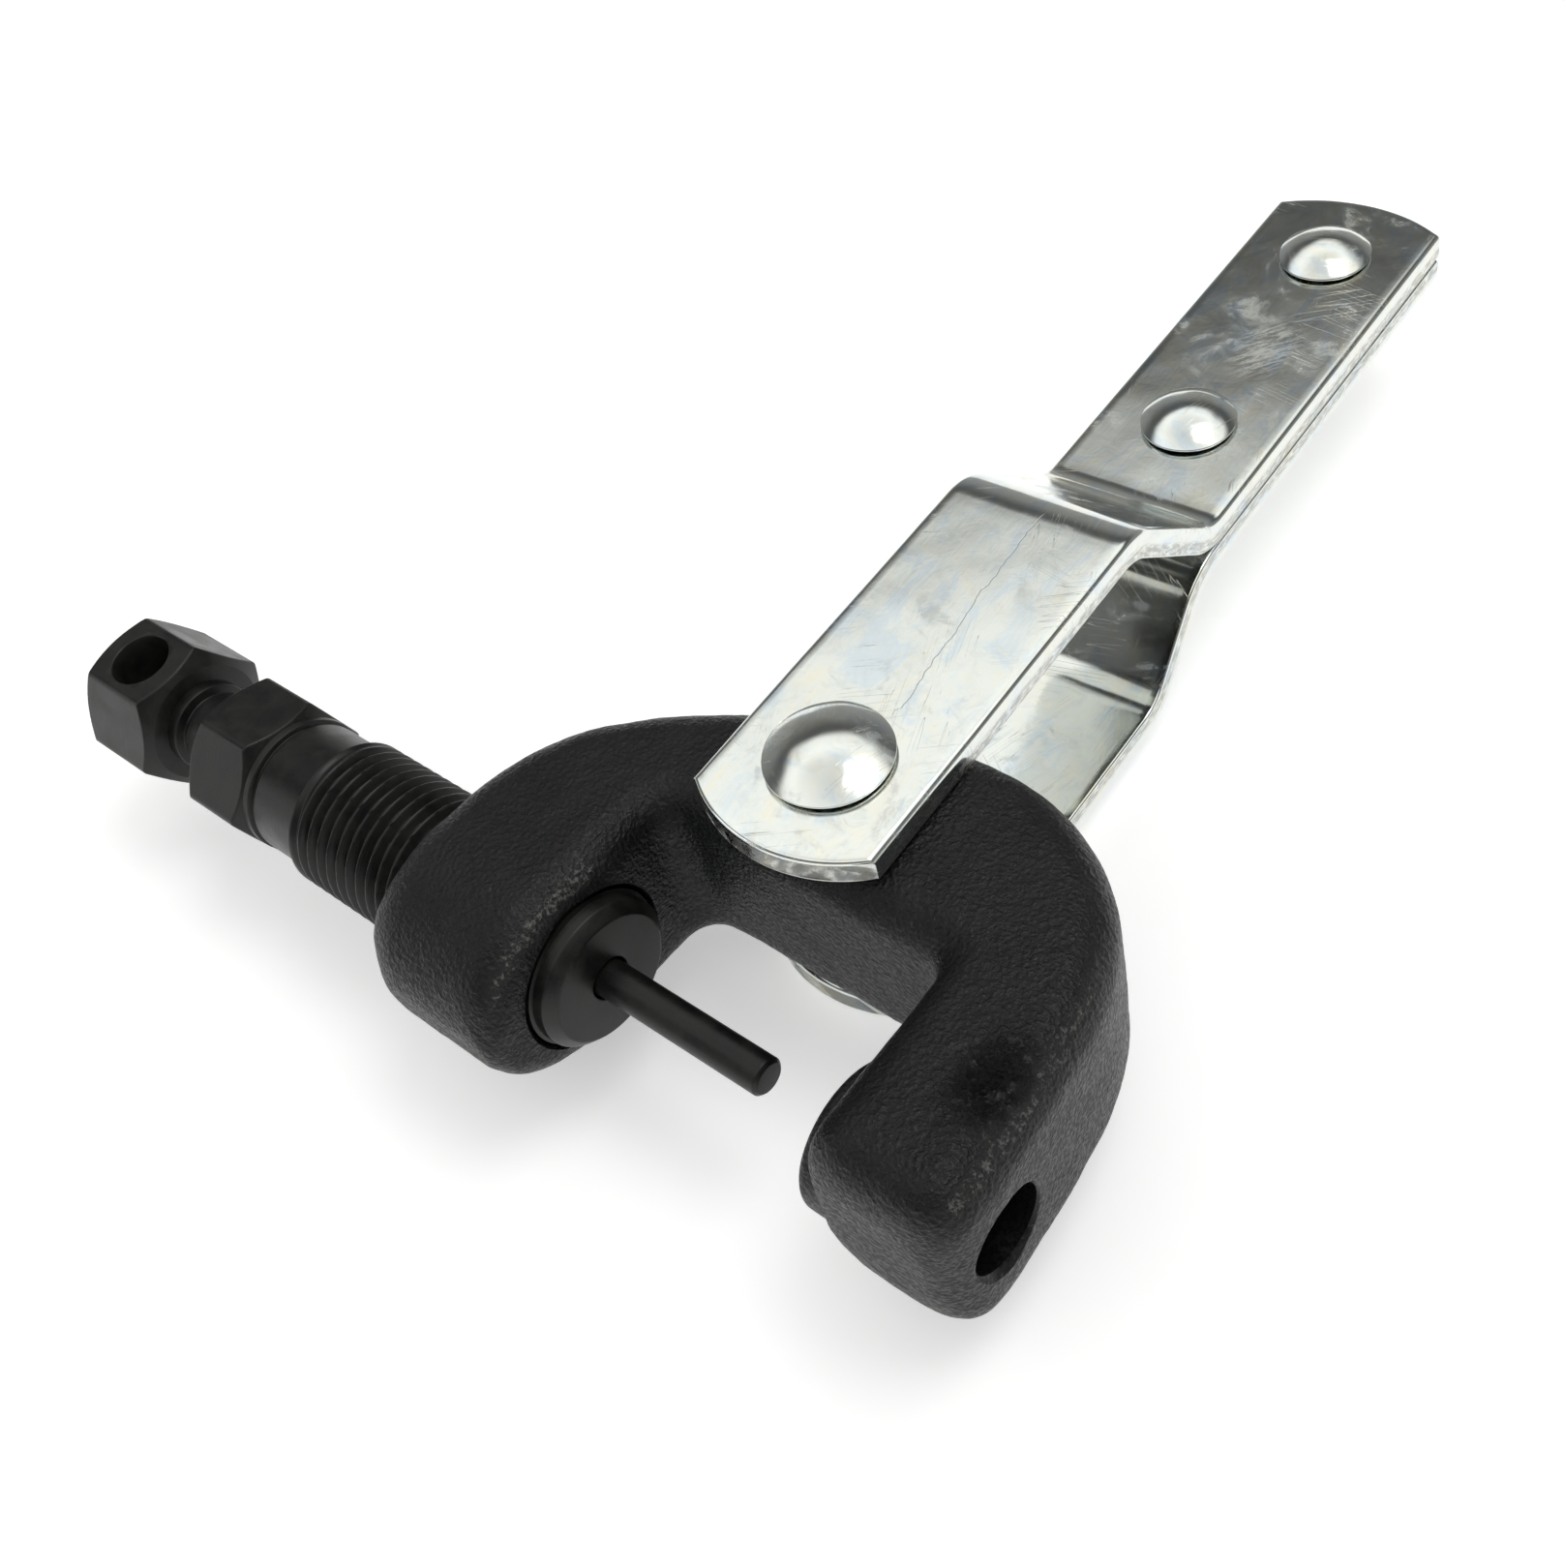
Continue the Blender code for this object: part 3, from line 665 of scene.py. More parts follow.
def hex_piece(name, back, front, corner_angle, bore=0.0):
    """A chamfered hexagon along the screw axis, solid or with a bore."""
    profile = [(station, 0.0) for station in hex_stations(back, front)]

    def radius_of(station, radius, angles):
        if radius:
            return np.full(len(angles), radius)
        return hexed(station, angles, back, front, corner_angle)

    if bore:
        profile += [(back, bore + 0.7), (back + 0.6, bore), (front, bore)]
    return turned_piece(name, profile, 216, closed=bool(bore), radius_of=radius_of)


def make_pressure_screw(material):
    """Hollow screw: nose, thread, shank and collar in one tube, with the hexagon on its end."""
    guide = PIN_RADIUS + SCREW_CLEARANCE
    chamber_front = PRESSURE_TIP - GUIDE_LENGTH
    drive_bore = DRIVE_RADIUS + SCREW_CLEARANCE
    nose = [
        (PRESSURE_TIP - 1.0, guide),
        (PRESSURE_TIP - 0.15, guide),
        (PRESSURE_TIP, guide + 0.15),
        (PRESSURE_TIP, NOSE_RADIUS - 1.05),
        (PRESSURE_TIP - 1.05, NOSE_RADIUS),
        (PRESSURE_TIP - NOSE_LENGTH, NOSE_RADIUS),
    ]
    thread_high = PRESSURE_TIP - NOSE_LENGTH - 0.1
    thread = thread_stations(thread_high, THREAD_START, PRESSURE_RADIUS)
    collar = [
        (THREAD_START - 0.05, PRESSURE_RADIUS),
        (THREAD_START - 0.55, SHANK_RADIUS),
        (PRESSURE_HEX_FRONT + 1.15, SHANK_RADIUS),
        (PRESSURE_HEX_FRONT + 0.9, SHANK_RADIUS - 0.3),
        (PRESSURE_HEX_FRONT + 0.65, SHANK_RADIUS - 0.3),
        (PRESSURE_HEX_FRONT + 0.5, SHANK_RADIUS + COLLAR_LIP),
        (PRESSURE_HEX_FRONT - 0.3, SHANK_RADIUS + COLLAR_LIP),
    ]
    inside = [
        (PRESSURE_HEX_FRONT - 0.3, drive_bore),
        (SPRING_CHAMBER_BACK - 1.0, drive_bore),
        (SPRING_CHAMBER_BACK, SPRING_CHAMBER_RADIUS),
        (chamber_front, SPRING_CHAMBER_RADIUS),
        (chamber_front, guide),
    ]
    profile = soften(nose, 0.16) + thread + soften(collar, 0.12) + inside
    shape = thread_shape(PRESSURE_RADIUS, PRESSURE_THREAD_DEPTH, THREAD_START, thread_high)
    tube = turned_piece("hollow_screw", profile, 96, closed=True, radius_of=shape)
    smooth(tube, 50.0)
    finish_piece(tube, "pressure", material, "black_oxide", "pressure_screw")
    hexagon = hex_piece(
        "hollow_screw_hexagon", PRESSURE_HEX_BACK, PRESSURE_HEX_FRONT, PRESSURE_HEX_ANGLE, drive_bore
    )
    smooth(hexagon, 50.0)
    finish_piece(hexagon, "pressure", material, "black_oxide")


def make_drive_screw(material):
    """Inner screw: hexagon with its cross hole, a grooved neck and the thread behind it."""
    hexagon = hex_piece("drive_hexagon", DRIVE_HEX_BACK, DRIVE_HEX_FRONT, DRIVE_HEX_ANGLE)
    reach = 0.5 * HEX_ACROSS_FLATS
    hole = [
        (reach + 1.0, CROSS_HOLE_RADIUS + 1.15),
        (reach - 0.15, CROSS_HOLE_RADIUS),
        (0.15 - reach, CROSS_HOLE_RADIUS),
        (-reach - 1.0, CROSS_HOLE_RADIUS + 1.15),
    ]
    tilt = Matrix.Rotation(math.radians(DRIVE_HEX_ANGLE), 4, "X")
    place = Matrix.Translation((CROSS_HOLE_X, SCREW_AXIS_Y, 0.0)) @ tilt
    cut(hexagon, turned_piece("cross_hole", hole, 64, place=place))
    smooth(hexagon, 50.0)
    finish_piece(hexagon, "drive", material, "black_oxide", "drive_screw")
    thread_high = DRIVE_TIP - 0.8
    thread = thread_stations(thread_high, DRIVE_THREAD_START, DRIVE_RADIUS)
    tip = [(DRIVE_TIP, 0.05), (DRIVE_TIP, DRIVE_RADIUS - 1.0), (thread_high + 0.05, DRIVE_RADIUS - 0.2)]
    neck = [
        (DRIVE_THREAD_START - 0.1, DRIVE_RADIUS),
        (DRIVE_THREAD_START - 0.5, DRIVE_NECK_RADIUS),
        (DRIVE_THREAD_START - 2.4, DRIVE_NECK_RADIUS),
        (DRIVE_THREAD_START - 2.6, DRIVE_NECK_RADIUS - 0.45),
        (DRIVE_THREAD_START - 3.2, DRIVE_NECK_RADIUS - 0.45),
        (DRIVE_THREAD_START - 3.5, DRIVE_NECK_RADIUS + 0.5),
        (DRIVE_HEX_FRONT - 0.4, DRIVE_NECK_RADIUS + 0.5),
        (DRIVE_HEX_FRONT - 0.4, 0.05),
    ]
    profile = soften(tip, 0.15) + thread + soften(neck, 0.15)
    shape = thread_shape(DRIVE_RADIUS, DRIVE_THREAD_DEPTH, DRIVE_THREAD_START, thread_high)
    rod = turned_piece("drive_rod", profile, 64, radius_of=shape)
    smooth(rod, 50.0)
    finish_piece(rod, "drive", material, "black_oxide")


def make_extractor_pin(material):
    tip = (PIN_HIGH.x - PIVOT.x) / MM
    back = (PIN_LOW.x - PIVOT.x) / MM
    profile = [
        (tip, 0.05),
        (tip, PIN_RADIUS - 0.35),
        (tip - 0.35, PIN_RADIUS),
        (back + PIN_HEAD_LENGTH + 0.6, PIN_RADIUS),
        (back + PIN_HEAD_LENGTH, PIN_RADIUS + 0.5),
        (back + PIN_HEAD_LENGTH, PIN_HEAD_RADIUS),
        (back, PIN_HEAD_RADIUS),
        (back, 0.05),
    ]
    pin = turned_piece("pushing_pin", soften(profile, 0.1, 4), 72)
    smooth(pin, 40.0)
    finish_piece(pin, "pin", material, "black_oxide", "extractor_pin")


def make_spring(material):
    """Return spring with one closed turn at each end."""
    low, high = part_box("pin_spring")
    start = (low.x - PIVOT.x) / MM + SPRING_WIRE
    end = (high.x - PIVOT.x) / MM - SPRING_WIRE
    per_turn = 40
    total = SPRING_TURNS * per_turn
    flat = 1.0 / SPRING_TURNS
    centres = []
    for index in range(total + 1):
        share = index / total
        rise = float(ramp_up(np.float64(share), 0.5 * flat, 1.0 - 0.5 * flat)) * 0.25
        rise += 0.75 * min(1.0, max(0.0, (share - 0.5 * flat) / (1.0 - flat)))
        angle = 2.0 * math.pi * index / per_turn
        centres.append((start + (end - start) * rise, angle))
    wire = 12
    points = []
    for station, angle in centres:
        for step in range(wire):
            around = 2.0 * math.pi * step / wire
            radius = SPRING_RADIUS + SPRING_WIRE * math.cos(around)
            along = station + SPRING_WIRE * math.sin(around)
            points.append((along, SCREW_AXIS_Y + radius * math.cos(angle), radius * math.sin(angle)))
    spring = mesh_piece("return_spring", points, grid_faces(len(centres), wire, False))
    turn_outward(spring)
    smooth(spring, 50.0)
    finish_piece(spring, "screw_feed_body", material, "spring_steel", "pin_spring")
    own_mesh(spring)


# The handle.


def end_drop(radius, across):
    return radius - math.sqrt(radius**2 - across**2)


def strip_section():
    """Half-open list of (across, through, edge share) round a strip whose upper edges roll over."""
    half = STRIP_HALF_WIDTH
    thick = 0.5 * STRIP_THICKNESS
    points = []
    columns = 26
    for column in range(columns + 1):
        share = 2.0 * column / columns - 1.0
        points.append((share * (half - STRIP_TOP_ROLL), thick, 0.0))
    for step in range(1, 7):
        angle = math.radians(90.0 - 15.0 * step)
        across = half - STRIP_TOP_ROLL * (1.0 - math.cos(angle))
        points.append((across, thick - STRIP_TOP_ROLL * (1.0 - math.sin(angle)), step / 6))
    for step in range(1, 4):
        side = thick - STRIP_TOP_ROLL - (2.0 * thick - STRIP_TOP_ROLL - STRIP_BURR_ROUND) * step / 4
        points.append((half, side, 1.0))
    for step in range(5):
        angle = math.radians(-22.5 * step)
        across = half - STRIP_BURR_ROUND * (1.0 - math.cos(angle))
        points.append((across, -thick + STRIP_BURR_ROUND * (1.0 + math.sin(angle)), 1.0 - step / 4))
    under = [(-across, through, edge) for across, through, edge in reversed(points[columns + 1 :])]
    for column in range(1, columns):
        share = 1.0 - 2.0 * column / columns
        points.append((share * (half - STRIP_BURR_ROUND), -thick, 0.0))
    return points + under


def bend_path(joggle, front_height, rear_height):
    """(station, height, slope) along the strip's mid-line through its two bends."""
    rise = rear_height - front_height
    slope = math.atan2(rise, joggle[1] - joggle[0])
    reach = BEND_RADIUS * math.tan(0.5 * abs(slope))
    sign = 1.0 if slope > 0.0 else -1.0
    path = []
    steps = 12
    for step in range(steps + 1):
        angle = slope * step / steps
        along = joggle[0] - reach + BEND_RADIUS * math.sin(abs(angle))
        path.append((along, front_height + sign * BEND_RADIUS * (1.0 - math.cos(angle)), angle))
    middle = 6
    first = path[-1]
    end_along = joggle[1] + reach - BEND_RADIUS * math.sin(abs(slope))
    end_height = rear_height - sign * BEND_RADIUS * (1.0 - math.cos(slope))
    for step in range(1, middle):
        share = step / middle
        along = first[0] + (end_along - first[0]) * share
        path.append((along, first[1] + (end_height - first[1]) * share, slope))
    for step in range(steps + 1):
        angle = slope * (1.0 - step / steps)
        along = joggle[1] + reach - BEND_RADIUS * math.sin(abs(angle))
        path.append((along, rear_height - sign * BEND_RADIUS * (1.0 - math.cos(angle)), angle))
    return path


def end_rings(apex, radius, height, direction):
    """Rings round one end of a strip: (station, height, slope, inset, front share, rear share)."""
    roll = STRIP_END_ROLL
    front = 1.0 if direction > 0 else 0.0
    flat = apex + direction * (end_drop(radius, STRIP_HALF_WIDTH) + 1.0)
    rings = []
    steps = 5
    for step in range(steps + 1):
        angle = math.radians(90.0 * step / steps)
        along = apex + direction * roll * (1.0 - math.cos(angle))
        rings.append((along, height, 0.0, roll * (1.0 - math.sin(angle)), front, 1.0 - front))
    start = rings[-1][0]
    for step in range(1, 5):
        left = 1.0 - step / 4
        along = start + (flat - start) * step / 4
        rings.append((along, height, 0.0, 0.0, front * left, (1.0 - front) * left))
    return rings


def straight_rings(start, end, height):
    count = max(1, round(abs(end - start) / 1.5))
    stations = [start + (end - start) * step / count for step in range(1, count)]
    return [(station, height, 0.0, 0.0, 0.0, 0.0) for station in stations]


def strip_rings(apex, joggle, front_height, rear_height):
    front = end_rings(apex, FRONT_END_RADIUS, front_height, 1)
    rear = end_rings(REAR_APEX, REAR_END_RADIUS, rear_height, -1)
    bends = [(*place, 0.0, 0.0, 0.0) for place in bend_path(joggle, front_height, rear_height)]
    rings = front + straight_rings(front[-1][0], bends[0][0], front_height) + bends
    return rings + straight_rings(bends[-1][0], rear[-1][0], rear_height) + list(reversed(rear))


def strip_wave(along, across, side):
    """Slight unevenness of rolled and bent strip, different on each of the two strips."""
    broad = noise.noise(Vector((along * 0.07, across * 0.09, 4.0 * side)))
    return broad + 0.35 * noise.noise(Vector((along * 0.3, across * 0.3, 9.0 * side)))


def make_strip(name, side, joggle, apex, material, node):
    """One handle strip, bent twice, with the rolled edges of sheared steel on its outer side."""
    front_height = WEB_HALF + GAP + 0.5 * STRIP_THICKNESS
    rear_height = 0.5 * (GAP + STRIP_THICKNESS)
    outline = strip_section()
    points = []
    drawn = []
    travelled = 0.0
    last = None
    for along, height, slope, inset, front, rear in strip_rings(apex, joggle, front_height, rear_height):
        limit = 0.5 * STRIP_THICKNESS - inset
        travelled += math.hypot(along - last[0], height - last[1]) if last else 0.0
        last = (along, height)
        for across, through, edge in outline:
            through = max(-limit, min(limit, through))
            drop = front * end_drop(FRONT_END_RADIUS, across) - rear * end_drop(REAR_END_RADIUS, across)
            through += STRIP_WAVE * strip_wave(along, across, side) - STRIP_SHRINK
            station = along + drop - through * math.sin(slope)
            points.append((station, side * across, side * (height + through * math.cos(slope))))
            start = travelled + drop + DRAWN_START[side]
            drawn.append((start, across, through, max(edge, inset / STRIP_END_ROLL)))
    count = len(outline)
    strip = mesh_piece(name, points, grid_faces(len(points) // count, count, False), HANDLE_FRAME)
    turn_outward(strip)
    smooth(strip, 60.0)
    drawn = np.array(drawn, np.float32)
    place = strip.data.attributes.new("drawn_place", "FLOAT_VECTOR", "POINT")
    place.data.foreach_set("vector", drawn[:, :3].ravel())
    mark(strip, "edge", drawn[:, 3])
    mark(strip, "through", drawn[:, 2])
    finish_piece(strip, "handle", material, "zinc_plate", node)


def make_rivet(name, station, half_grip, shank, head, material, node):
    """A rivet with a pressed, slightly uneven dome on each side."""
    seat = half_grip + GAP
    rise = HEAD_HEIGHT - HEAD_RIM
    sphere = (head**2 + rise**2) / (2.0 * rise)
    steps = 26
    dome = []
    for step in range(steps + 1):
        radius = max(0.02, head * math.sin(0.5 * math.pi * step / steps))
        dome.append((seat + HEAD_RIM + math.sqrt(sphere**2 - radius**2) - (sphere - rise), radius))
    edge = soften([dome[-2], dome[-1], (seat + 0.1, head), (seat, head - 0.25), (seat, shank)], 0.14)
    half = dome[:-1] + edge[1:]
    profile = half + [(-height, radius) for height, radius in reversed(half)]
    place = HANDLE_FRAME @ Matrix.Translation((station, 0.0, 0.0))

    def radius_of(height, radius, angles):
        wobble = 0.006 * np.sin(2.0 * angles + station) + 0.004 * np.sin(5.0 * angles + 2.0 * station)
        return radius * (1.0 - HEAD_SHRINK + wobble * (radius > 0.6 * head))

    rivet = turned_piece(name, profile, 96, radius_of=radius_of, place=place)
    points = rest_points(rivet)
    normals = rest_normals(rivet)
    dents = noise_at(points, 0.45, (station, 2.0, 5.0))
    top = ramp_up(np.abs(normals[:, 2]), 0.7, 0.95) * (np.abs(points[:, 2]) > half_grip)
    points[:, 2] += np.sign(points[:, 2]) * top * (0.06 * dents - 0.05)
    move_points(rivet, points)
    smooth(rivet, 45.0)
    finish_piece(rivet, "handle", material, "zinc_plate", node)


# Materials. Texture coordinates are in millimetres.


def add(tree, kind, inputs=None, **settings):
    """Adds a node, its inputs given as sockets to link or as values."""
    made = tree.nodes.new(kind)
    for key, value in settings.items():
        setattr(made, key, value)
    for key, value in (inputs or {}).items():
        if isinstance(value, bpy.types.NodeSocket):
            tree.links.new(value, made.inputs[key])
        else:
            made.inputs[key].default_value = value
    return made


def new_surface(name):
    """(material, node tree, shader, coordinates in millimetres) of a new material."""
    material = bpy.data.materials.new(name)
    material.use_nodes = True
    tree = material.node_tree
    shader = tree.nodes["Principled BSDF"]
    place = add(tree, "ShaderNodeTexCoord").outputs["Object"]
    scaled = add(tree, "ShaderNodeVectorMath", {0: place, "Scale": 1.0 / MM}, operation="SCALE")
    return material, tree, shader, scaled.outputs[0]


def noise_of(tree, place, scale, detail=3.0, roughness=0.55, distortion=0.0):
    inputs = {"Vector": place, "Scale": scale, "Detail": detail, "Roughness": roughness}
    return add(tree, "ShaderNodeTexNoise", {**inputs, "Distortion": distortion}).outputs["Fac"]


def stretch(tree, place, x, y, z):
    return add(tree, "ShaderNodeVectorMath", {0: place, 1: (x, y, z)}, operation="MULTIPLY").outputs[0]


def turn(tree, place, degrees):
    inputs = {"Vector": place, "Angle": math.radians(degrees)}
    return add(tree, "ShaderNodeVectorRotate", inputs, rotation_type="Z_AXIS").outputs[0]


def between(tree, value, low, high, to_low=0.0, to_high=1.0):
    inputs = {"Value": value, "From Min": low, "From Max": high, "To Min": to_low, "To Max": to_high}
    return add(tree, "ShaderNodeMapRange", inputs, interpolation_type="SMOOTHSTEP").outputs[0]


def maths(tree, operation, first, second):
    return add(tree, "ShaderNodeMath", {0: first, 1: second}, operation=operation).outputs[0]


def colour_mix(tree, share, first, second):
    mixed = add(tree, "ShaderNodeMix", data_type="RGBA")
    for index, value in ((0, share), (6, first), (7, second)):
        if isinstance(value, bpy.types.NodeSocket):
            tree.links.new(value, mixed.inputs[index])
        else:
            mixed.inputs[index].default_value = value if index == 0 else (*value, 1.0)
    return mixed.outputs[2]


def bumped(tree, height, millimetres, before=None):
    inputs = {"Height": height, "Strength": 1.0, "Distance": millimetres * MM}
    if before:
        inputs["Normal"] = before
    return add(tree, "ShaderNodeBump", inputs).outputs["Normal"]


def marked(tree, name):
    return add(tree, "ShaderNodeAttribute", attribute_name=name).outputs["Fac"]


def times(tree, first, second):
    return maths(tree, "MULTIPLY", first, second)


def plus(tree, first, second):
    return maths(tree, "ADD", first, second)


def dress(tree, shader, colour, roughness, normal):
    tree.links.new(colour, shader.inputs["Base Color"])
    tree.links.new(roughness, shader.inputs["Roughness"])
    tree.links.new(normal, shader.inputs["Normal"])


def black_cast():
    """Forged black frame: a fine grain, rubbed ridges with a painted highlight, a crumbled pit and
    cleaner bores.
    """
    material, tree, shader, place = new_surface("black_cast_look")
    grain = noise_of(tree, place, 2.5, 2.0, 0.5)
    cell_inputs = {"Vector": place, "Scale": 1.8}
    cells = add(tree, "ShaderNodeTexVoronoi", cell_inputs, feature="SMOOTH_F1").outputs[0]
    crumbled = between(tree, noise_of(tree, place, 0.6, 5.0, 0.7), 0.4, 0.56)
    pit = times(tree, marked(tree, "pit"), crumbled)
    machined = marked(tree, "machined")
    rough = between(tree, grain, 0.4, 0.62, 0.52, 0.33)
    rough = maths(tree, "SUBTRACT", rough, times(tree, machined, 0.1))
    rough = plus(tree, rough, times(tree, pit, 0.3))
    soft = maths(tree, "SUBTRACT", 1.0, times(tree, machined, 0.85))
    rugged = times(tree, soft, plus(tree, 1.0, times(tree, pit, 5.0)))
    normal = bumped(tree, times(tree, cells, soft), 0.08)
    normal = bumped(tree, times(tree, grain, rugged), 0.2, normal)
    dress(tree, shader, cast_colour(tree, place, pit), rough, normal)
    shader.inputs["Specular IOR Level"].default_value = 0.28
    return material


def cast_colour(tree, place, pit):
    """Two near blacks, dusty on the ridges and the throat's wall, with a painted highlight along the
    ridges and pale specks of bare metal.
    """
    wear_and_sheen = marked(tree, "wear_and_sheen")
    trimmed = marked(tree, "trimmed")
    patches = noise_of(tree, place, 0.16, 3.0, 0.6, 0.6)
    colour = colour_mix(tree, between(tree, patches, 0.35, 0.7), CAST_BLACK, CAST_GREY)
    # The ridges are lightened towards this grey: partly dust, partly a painted highlight (sheen).
    colour = colour_mix(tree, times(tree, wear_and_sheen, 0.4), colour, CAST_DUST_AND_SHEEN)
    colour = colour_mix(tree, times(tree, trimmed, 0.3), colour, CAST_TRIMMED)
    colour = colour_mix(tree, times(tree, pit, 0.9), colour, CAST_PIT)
    specks = noise_of(tree, place, 1.9, 5.0, 0.75)
    rubbed = between(tree, plus(tree, specks, times(tree, wear_and_sheen, 0.17)), 0.65, 0.77)
    rubbed = times(tree, rubbed, wear_and_sheen)
    flecks = between(tree, noise_of(tree, place, 0.9, 2.0, 0.5), 0.735, 0.77)
    flecks = plus(tree, flecks, times(tree, trimmed, between(tree, specks, 0.55, 0.75)))
    pale = maths(tree, "MAXIMUM", times(tree, rubbed, 0.5), times(tree, flecks, 0.1))
    return colour_mix(tree, pale, colour, CAST_METAL)


def black_oxide():
    """Blackened machined steel: fine turning marks, a brown cast in patches and a satin gloss."""
    material, tree, shader, place = new_surface("black_oxide_look")
    rings = noise_of(tree, stretch(tree, place, 9.0, 0.22, 0.22), 1.0, 2.0, 0.6)
    cloud = noise_of(tree, place, 0.32, 4.0, 0.6, 0.4)
    specks = noise_of(tree, place, 4.5, 3.0, 0.6)
    colour = colour_mix(tree, between(tree, cloud, 0.35, 0.68), OXIDE_BLACK, OXIDE_BROWN)
    colour = colour_mix(tree, between(tree, specks, 0.66, 0.76, 0.0, 0.22), colour, OXIDE_SPECK)
    rough = plus(tree, between(tree, cloud, 0.3, 0.7, 0.26, 0.38), times(tree, rings, 0.08))
    normal = bumped(tree, rings, 0.012)
    normal = bumped(tree, specks, 0.01, normal)
    dress(tree, shader, colour, rough, normal)
    shader.inputs["Specular IOR Level"].default_value = 0.33
    return material


def zinc_strip():
    """Zinc on rolled strip, its marks following the strip round its bends."""
    material, tree, shader, _ = new_surface("zinc_strip_look")
    along = add(tree, "ShaderNodeAttribute", attribute_name="drawn_place").outputs["Vector"]
    drawn = noise_of(tree, stretch(tree, along, 0.14, 3.4, 3.4), 1.0, 4.0, 0.6)
    scratch = maths(tree, "MAXIMUM", scratches(tree, along), long_scratch(tree, along))
    edge = between(tree, marked(tree, "edge"), 0.8, 0.98)
    fracture = times(tree, edge, between(tree, marked(tree, "through"), 0.25, -0.35))
    crumbs = between(tree, noise_of(tree, stretch(tree, along, 0.8, 1.0, 2.6), 1.0, 4.0), 0.3, 0.6)
    zinc_look(tree, shader, along, drawn, scratch, times(tree, fracture, crumbs), scuff(tree, along))
    return material


def zinc_rivet():
    """Zinc on the pressed rivet heads."""
    material, tree, shader, place = new_surface("zinc_rivet_look")
    zinc_look(tree, shader, place, noise_of(tree, place, 1.6, 3.0, 0.6), scratches(tree, place))
    return material


def zinc_look(tree, shader, place, drawn, scratch, torn=None, scuffed=None):
    """Bright zinc: cloudy blue and straw tints, frosted blotches, hairline scratches and torn edges."""
    cloud = noise_of(tree, place, 0.11, 5.0, 0.62, 1.2)
    tint = noise_of(tree, stretch(tree, place, 0.1, 0.19, 0.19), 1.0, 5.0, 0.62, 1.8)
    blotch = noise_of(tree, place, 0.42, 5.0, 0.7, 0.8)
    frost = times(tree, between(tree, cloud, 0.54, 0.68), between(tree, blotch, 0.38, 0.6))
    if scuffed:
        frost = maths(tree, "MAXIMUM", frost, scuffed)
    colour = colour_mix(tree, between(tree, tint, 0.34, 0.5), ZINC_BLUE, ZINC_PLAIN)
    colour = colour_mix(tree, between(tree, tint, 0.52, 0.68), colour, ZINC_STRAW)
    colour = colour_mix(tree, between(tree, blotch, 0.48, 0.68, 0.0, 0.22), colour, ZINC_BLOTCH)
    rough = plus(tree, between(tree, cloud, 0.32, 0.6, 0.09, 0.14), times(tree, frost, 0.2))
    if torn:
        colour = colour_mix(tree, times(tree, torn, 0.6), colour, ZINC_TORN)
        rough = plus(tree, rough, times(tree, torn, 0.25))
    colour = colour_mix(tree, times(tree, scratch, 0.4), colour, ZINC_SCRATCH)
    rough = plus(tree, rough, times(tree, scratch, 0.12))
    normal = bumped(tree, drawn, 0.002)
    normal = bumped(tree, blotch, 0.006, normal)
    normal = bumped(tree, maths(tree, "SUBTRACT", 1.0, scratch), 0.01, normal)
    dress(tree, shader, colour, rough, normal)
    shader.inputs["Metallic"].default_value = 1.0


def long_scratch(tree, along):
    """One wandering hairline on the front flat of the upper strip, from the pivot's head to the bend."""
    parts = add(tree, "ShaderNodeSeparateXYZ", {0: along}).outputs
    lean = times(tree, maths(tree, "SUBTRACT", parts["X"], SCRATCH_START), SCRATCH_LEAN)
    wander = noise_of(tree, stretch(tree, along, 0.16, 0.0, 0.0), 1.0, 4.0, 0.6)
    across = plus(tree, plus(tree, lean, times(tree, wander, SCRATCH_WANDER)), SCRATCH_SIDE)
    offset = maths(tree, "SUBTRACT", parts["Y"], across)
    line = between(tree, times(tree, offset, offset), 0.0, 0.005, 1.0, 0.0)
    begun = maths(tree, "GREATER_THAN", parts["X"], SCRATCH_START)
    ended = maths(tree, "LESS_THAN", parts["X"], SCRATCH_END)
    return times(tree, line, times(tree, begun, ended))


def scuff(tree, along):
    """Frosted patch rubbed into the rear flat of the upper strip, between its two rivets."""
    moved = add(tree, "ShaderNodeVectorMath", {0: along, 1: SCUFF_PLACE}, operation="SUBTRACT")
    offset = stretch(tree, moved.outputs[0], 0.14, 0.2, 0.2)
    distance = add(tree, "ShaderNodeVectorMath", {0: offset}, operation="LENGTH").outputs["Value"]
    crossed = noise_of(tree, stretch(tree, turn(tree, along, 40.0), 0.5, 2.4, 1.0), 1.0, 4.0, 0.7)
    patch = between(tree, distance, 0.35, 1.0, 1.0, 0.0)
    return times(tree, patch, between(tree, crossed, 0.42, 0.62))


def scratches(tree, place):
    """Sparse hairline scratches in three directions."""
    found = None
    for degrees, scale, width in HAIRLINES:
        turned_place = turn(tree, place, degrees)
        lines = noise_of(tree, stretch(tree, turned_place, 22.0, 0.8, 1.0), scale, 1.5, 0.5, 0.25)
        centred = maths(tree, "SUBTRACT", lines, 0.5)
        offset = add(tree, "ShaderNodeMath", {0: centred}, operation="ABSOLUTE").outputs[0]
        gate = between(tree, noise_of(tree, turned_place, 0.09, 2.0), 0.57, 0.66)
        hair = times(tree, between(tree, offset, 0.0, width, 1.0, 0.0), gate)
        found = maths(tree, "MAXIMUM", found, hair) if found else hair
    return found


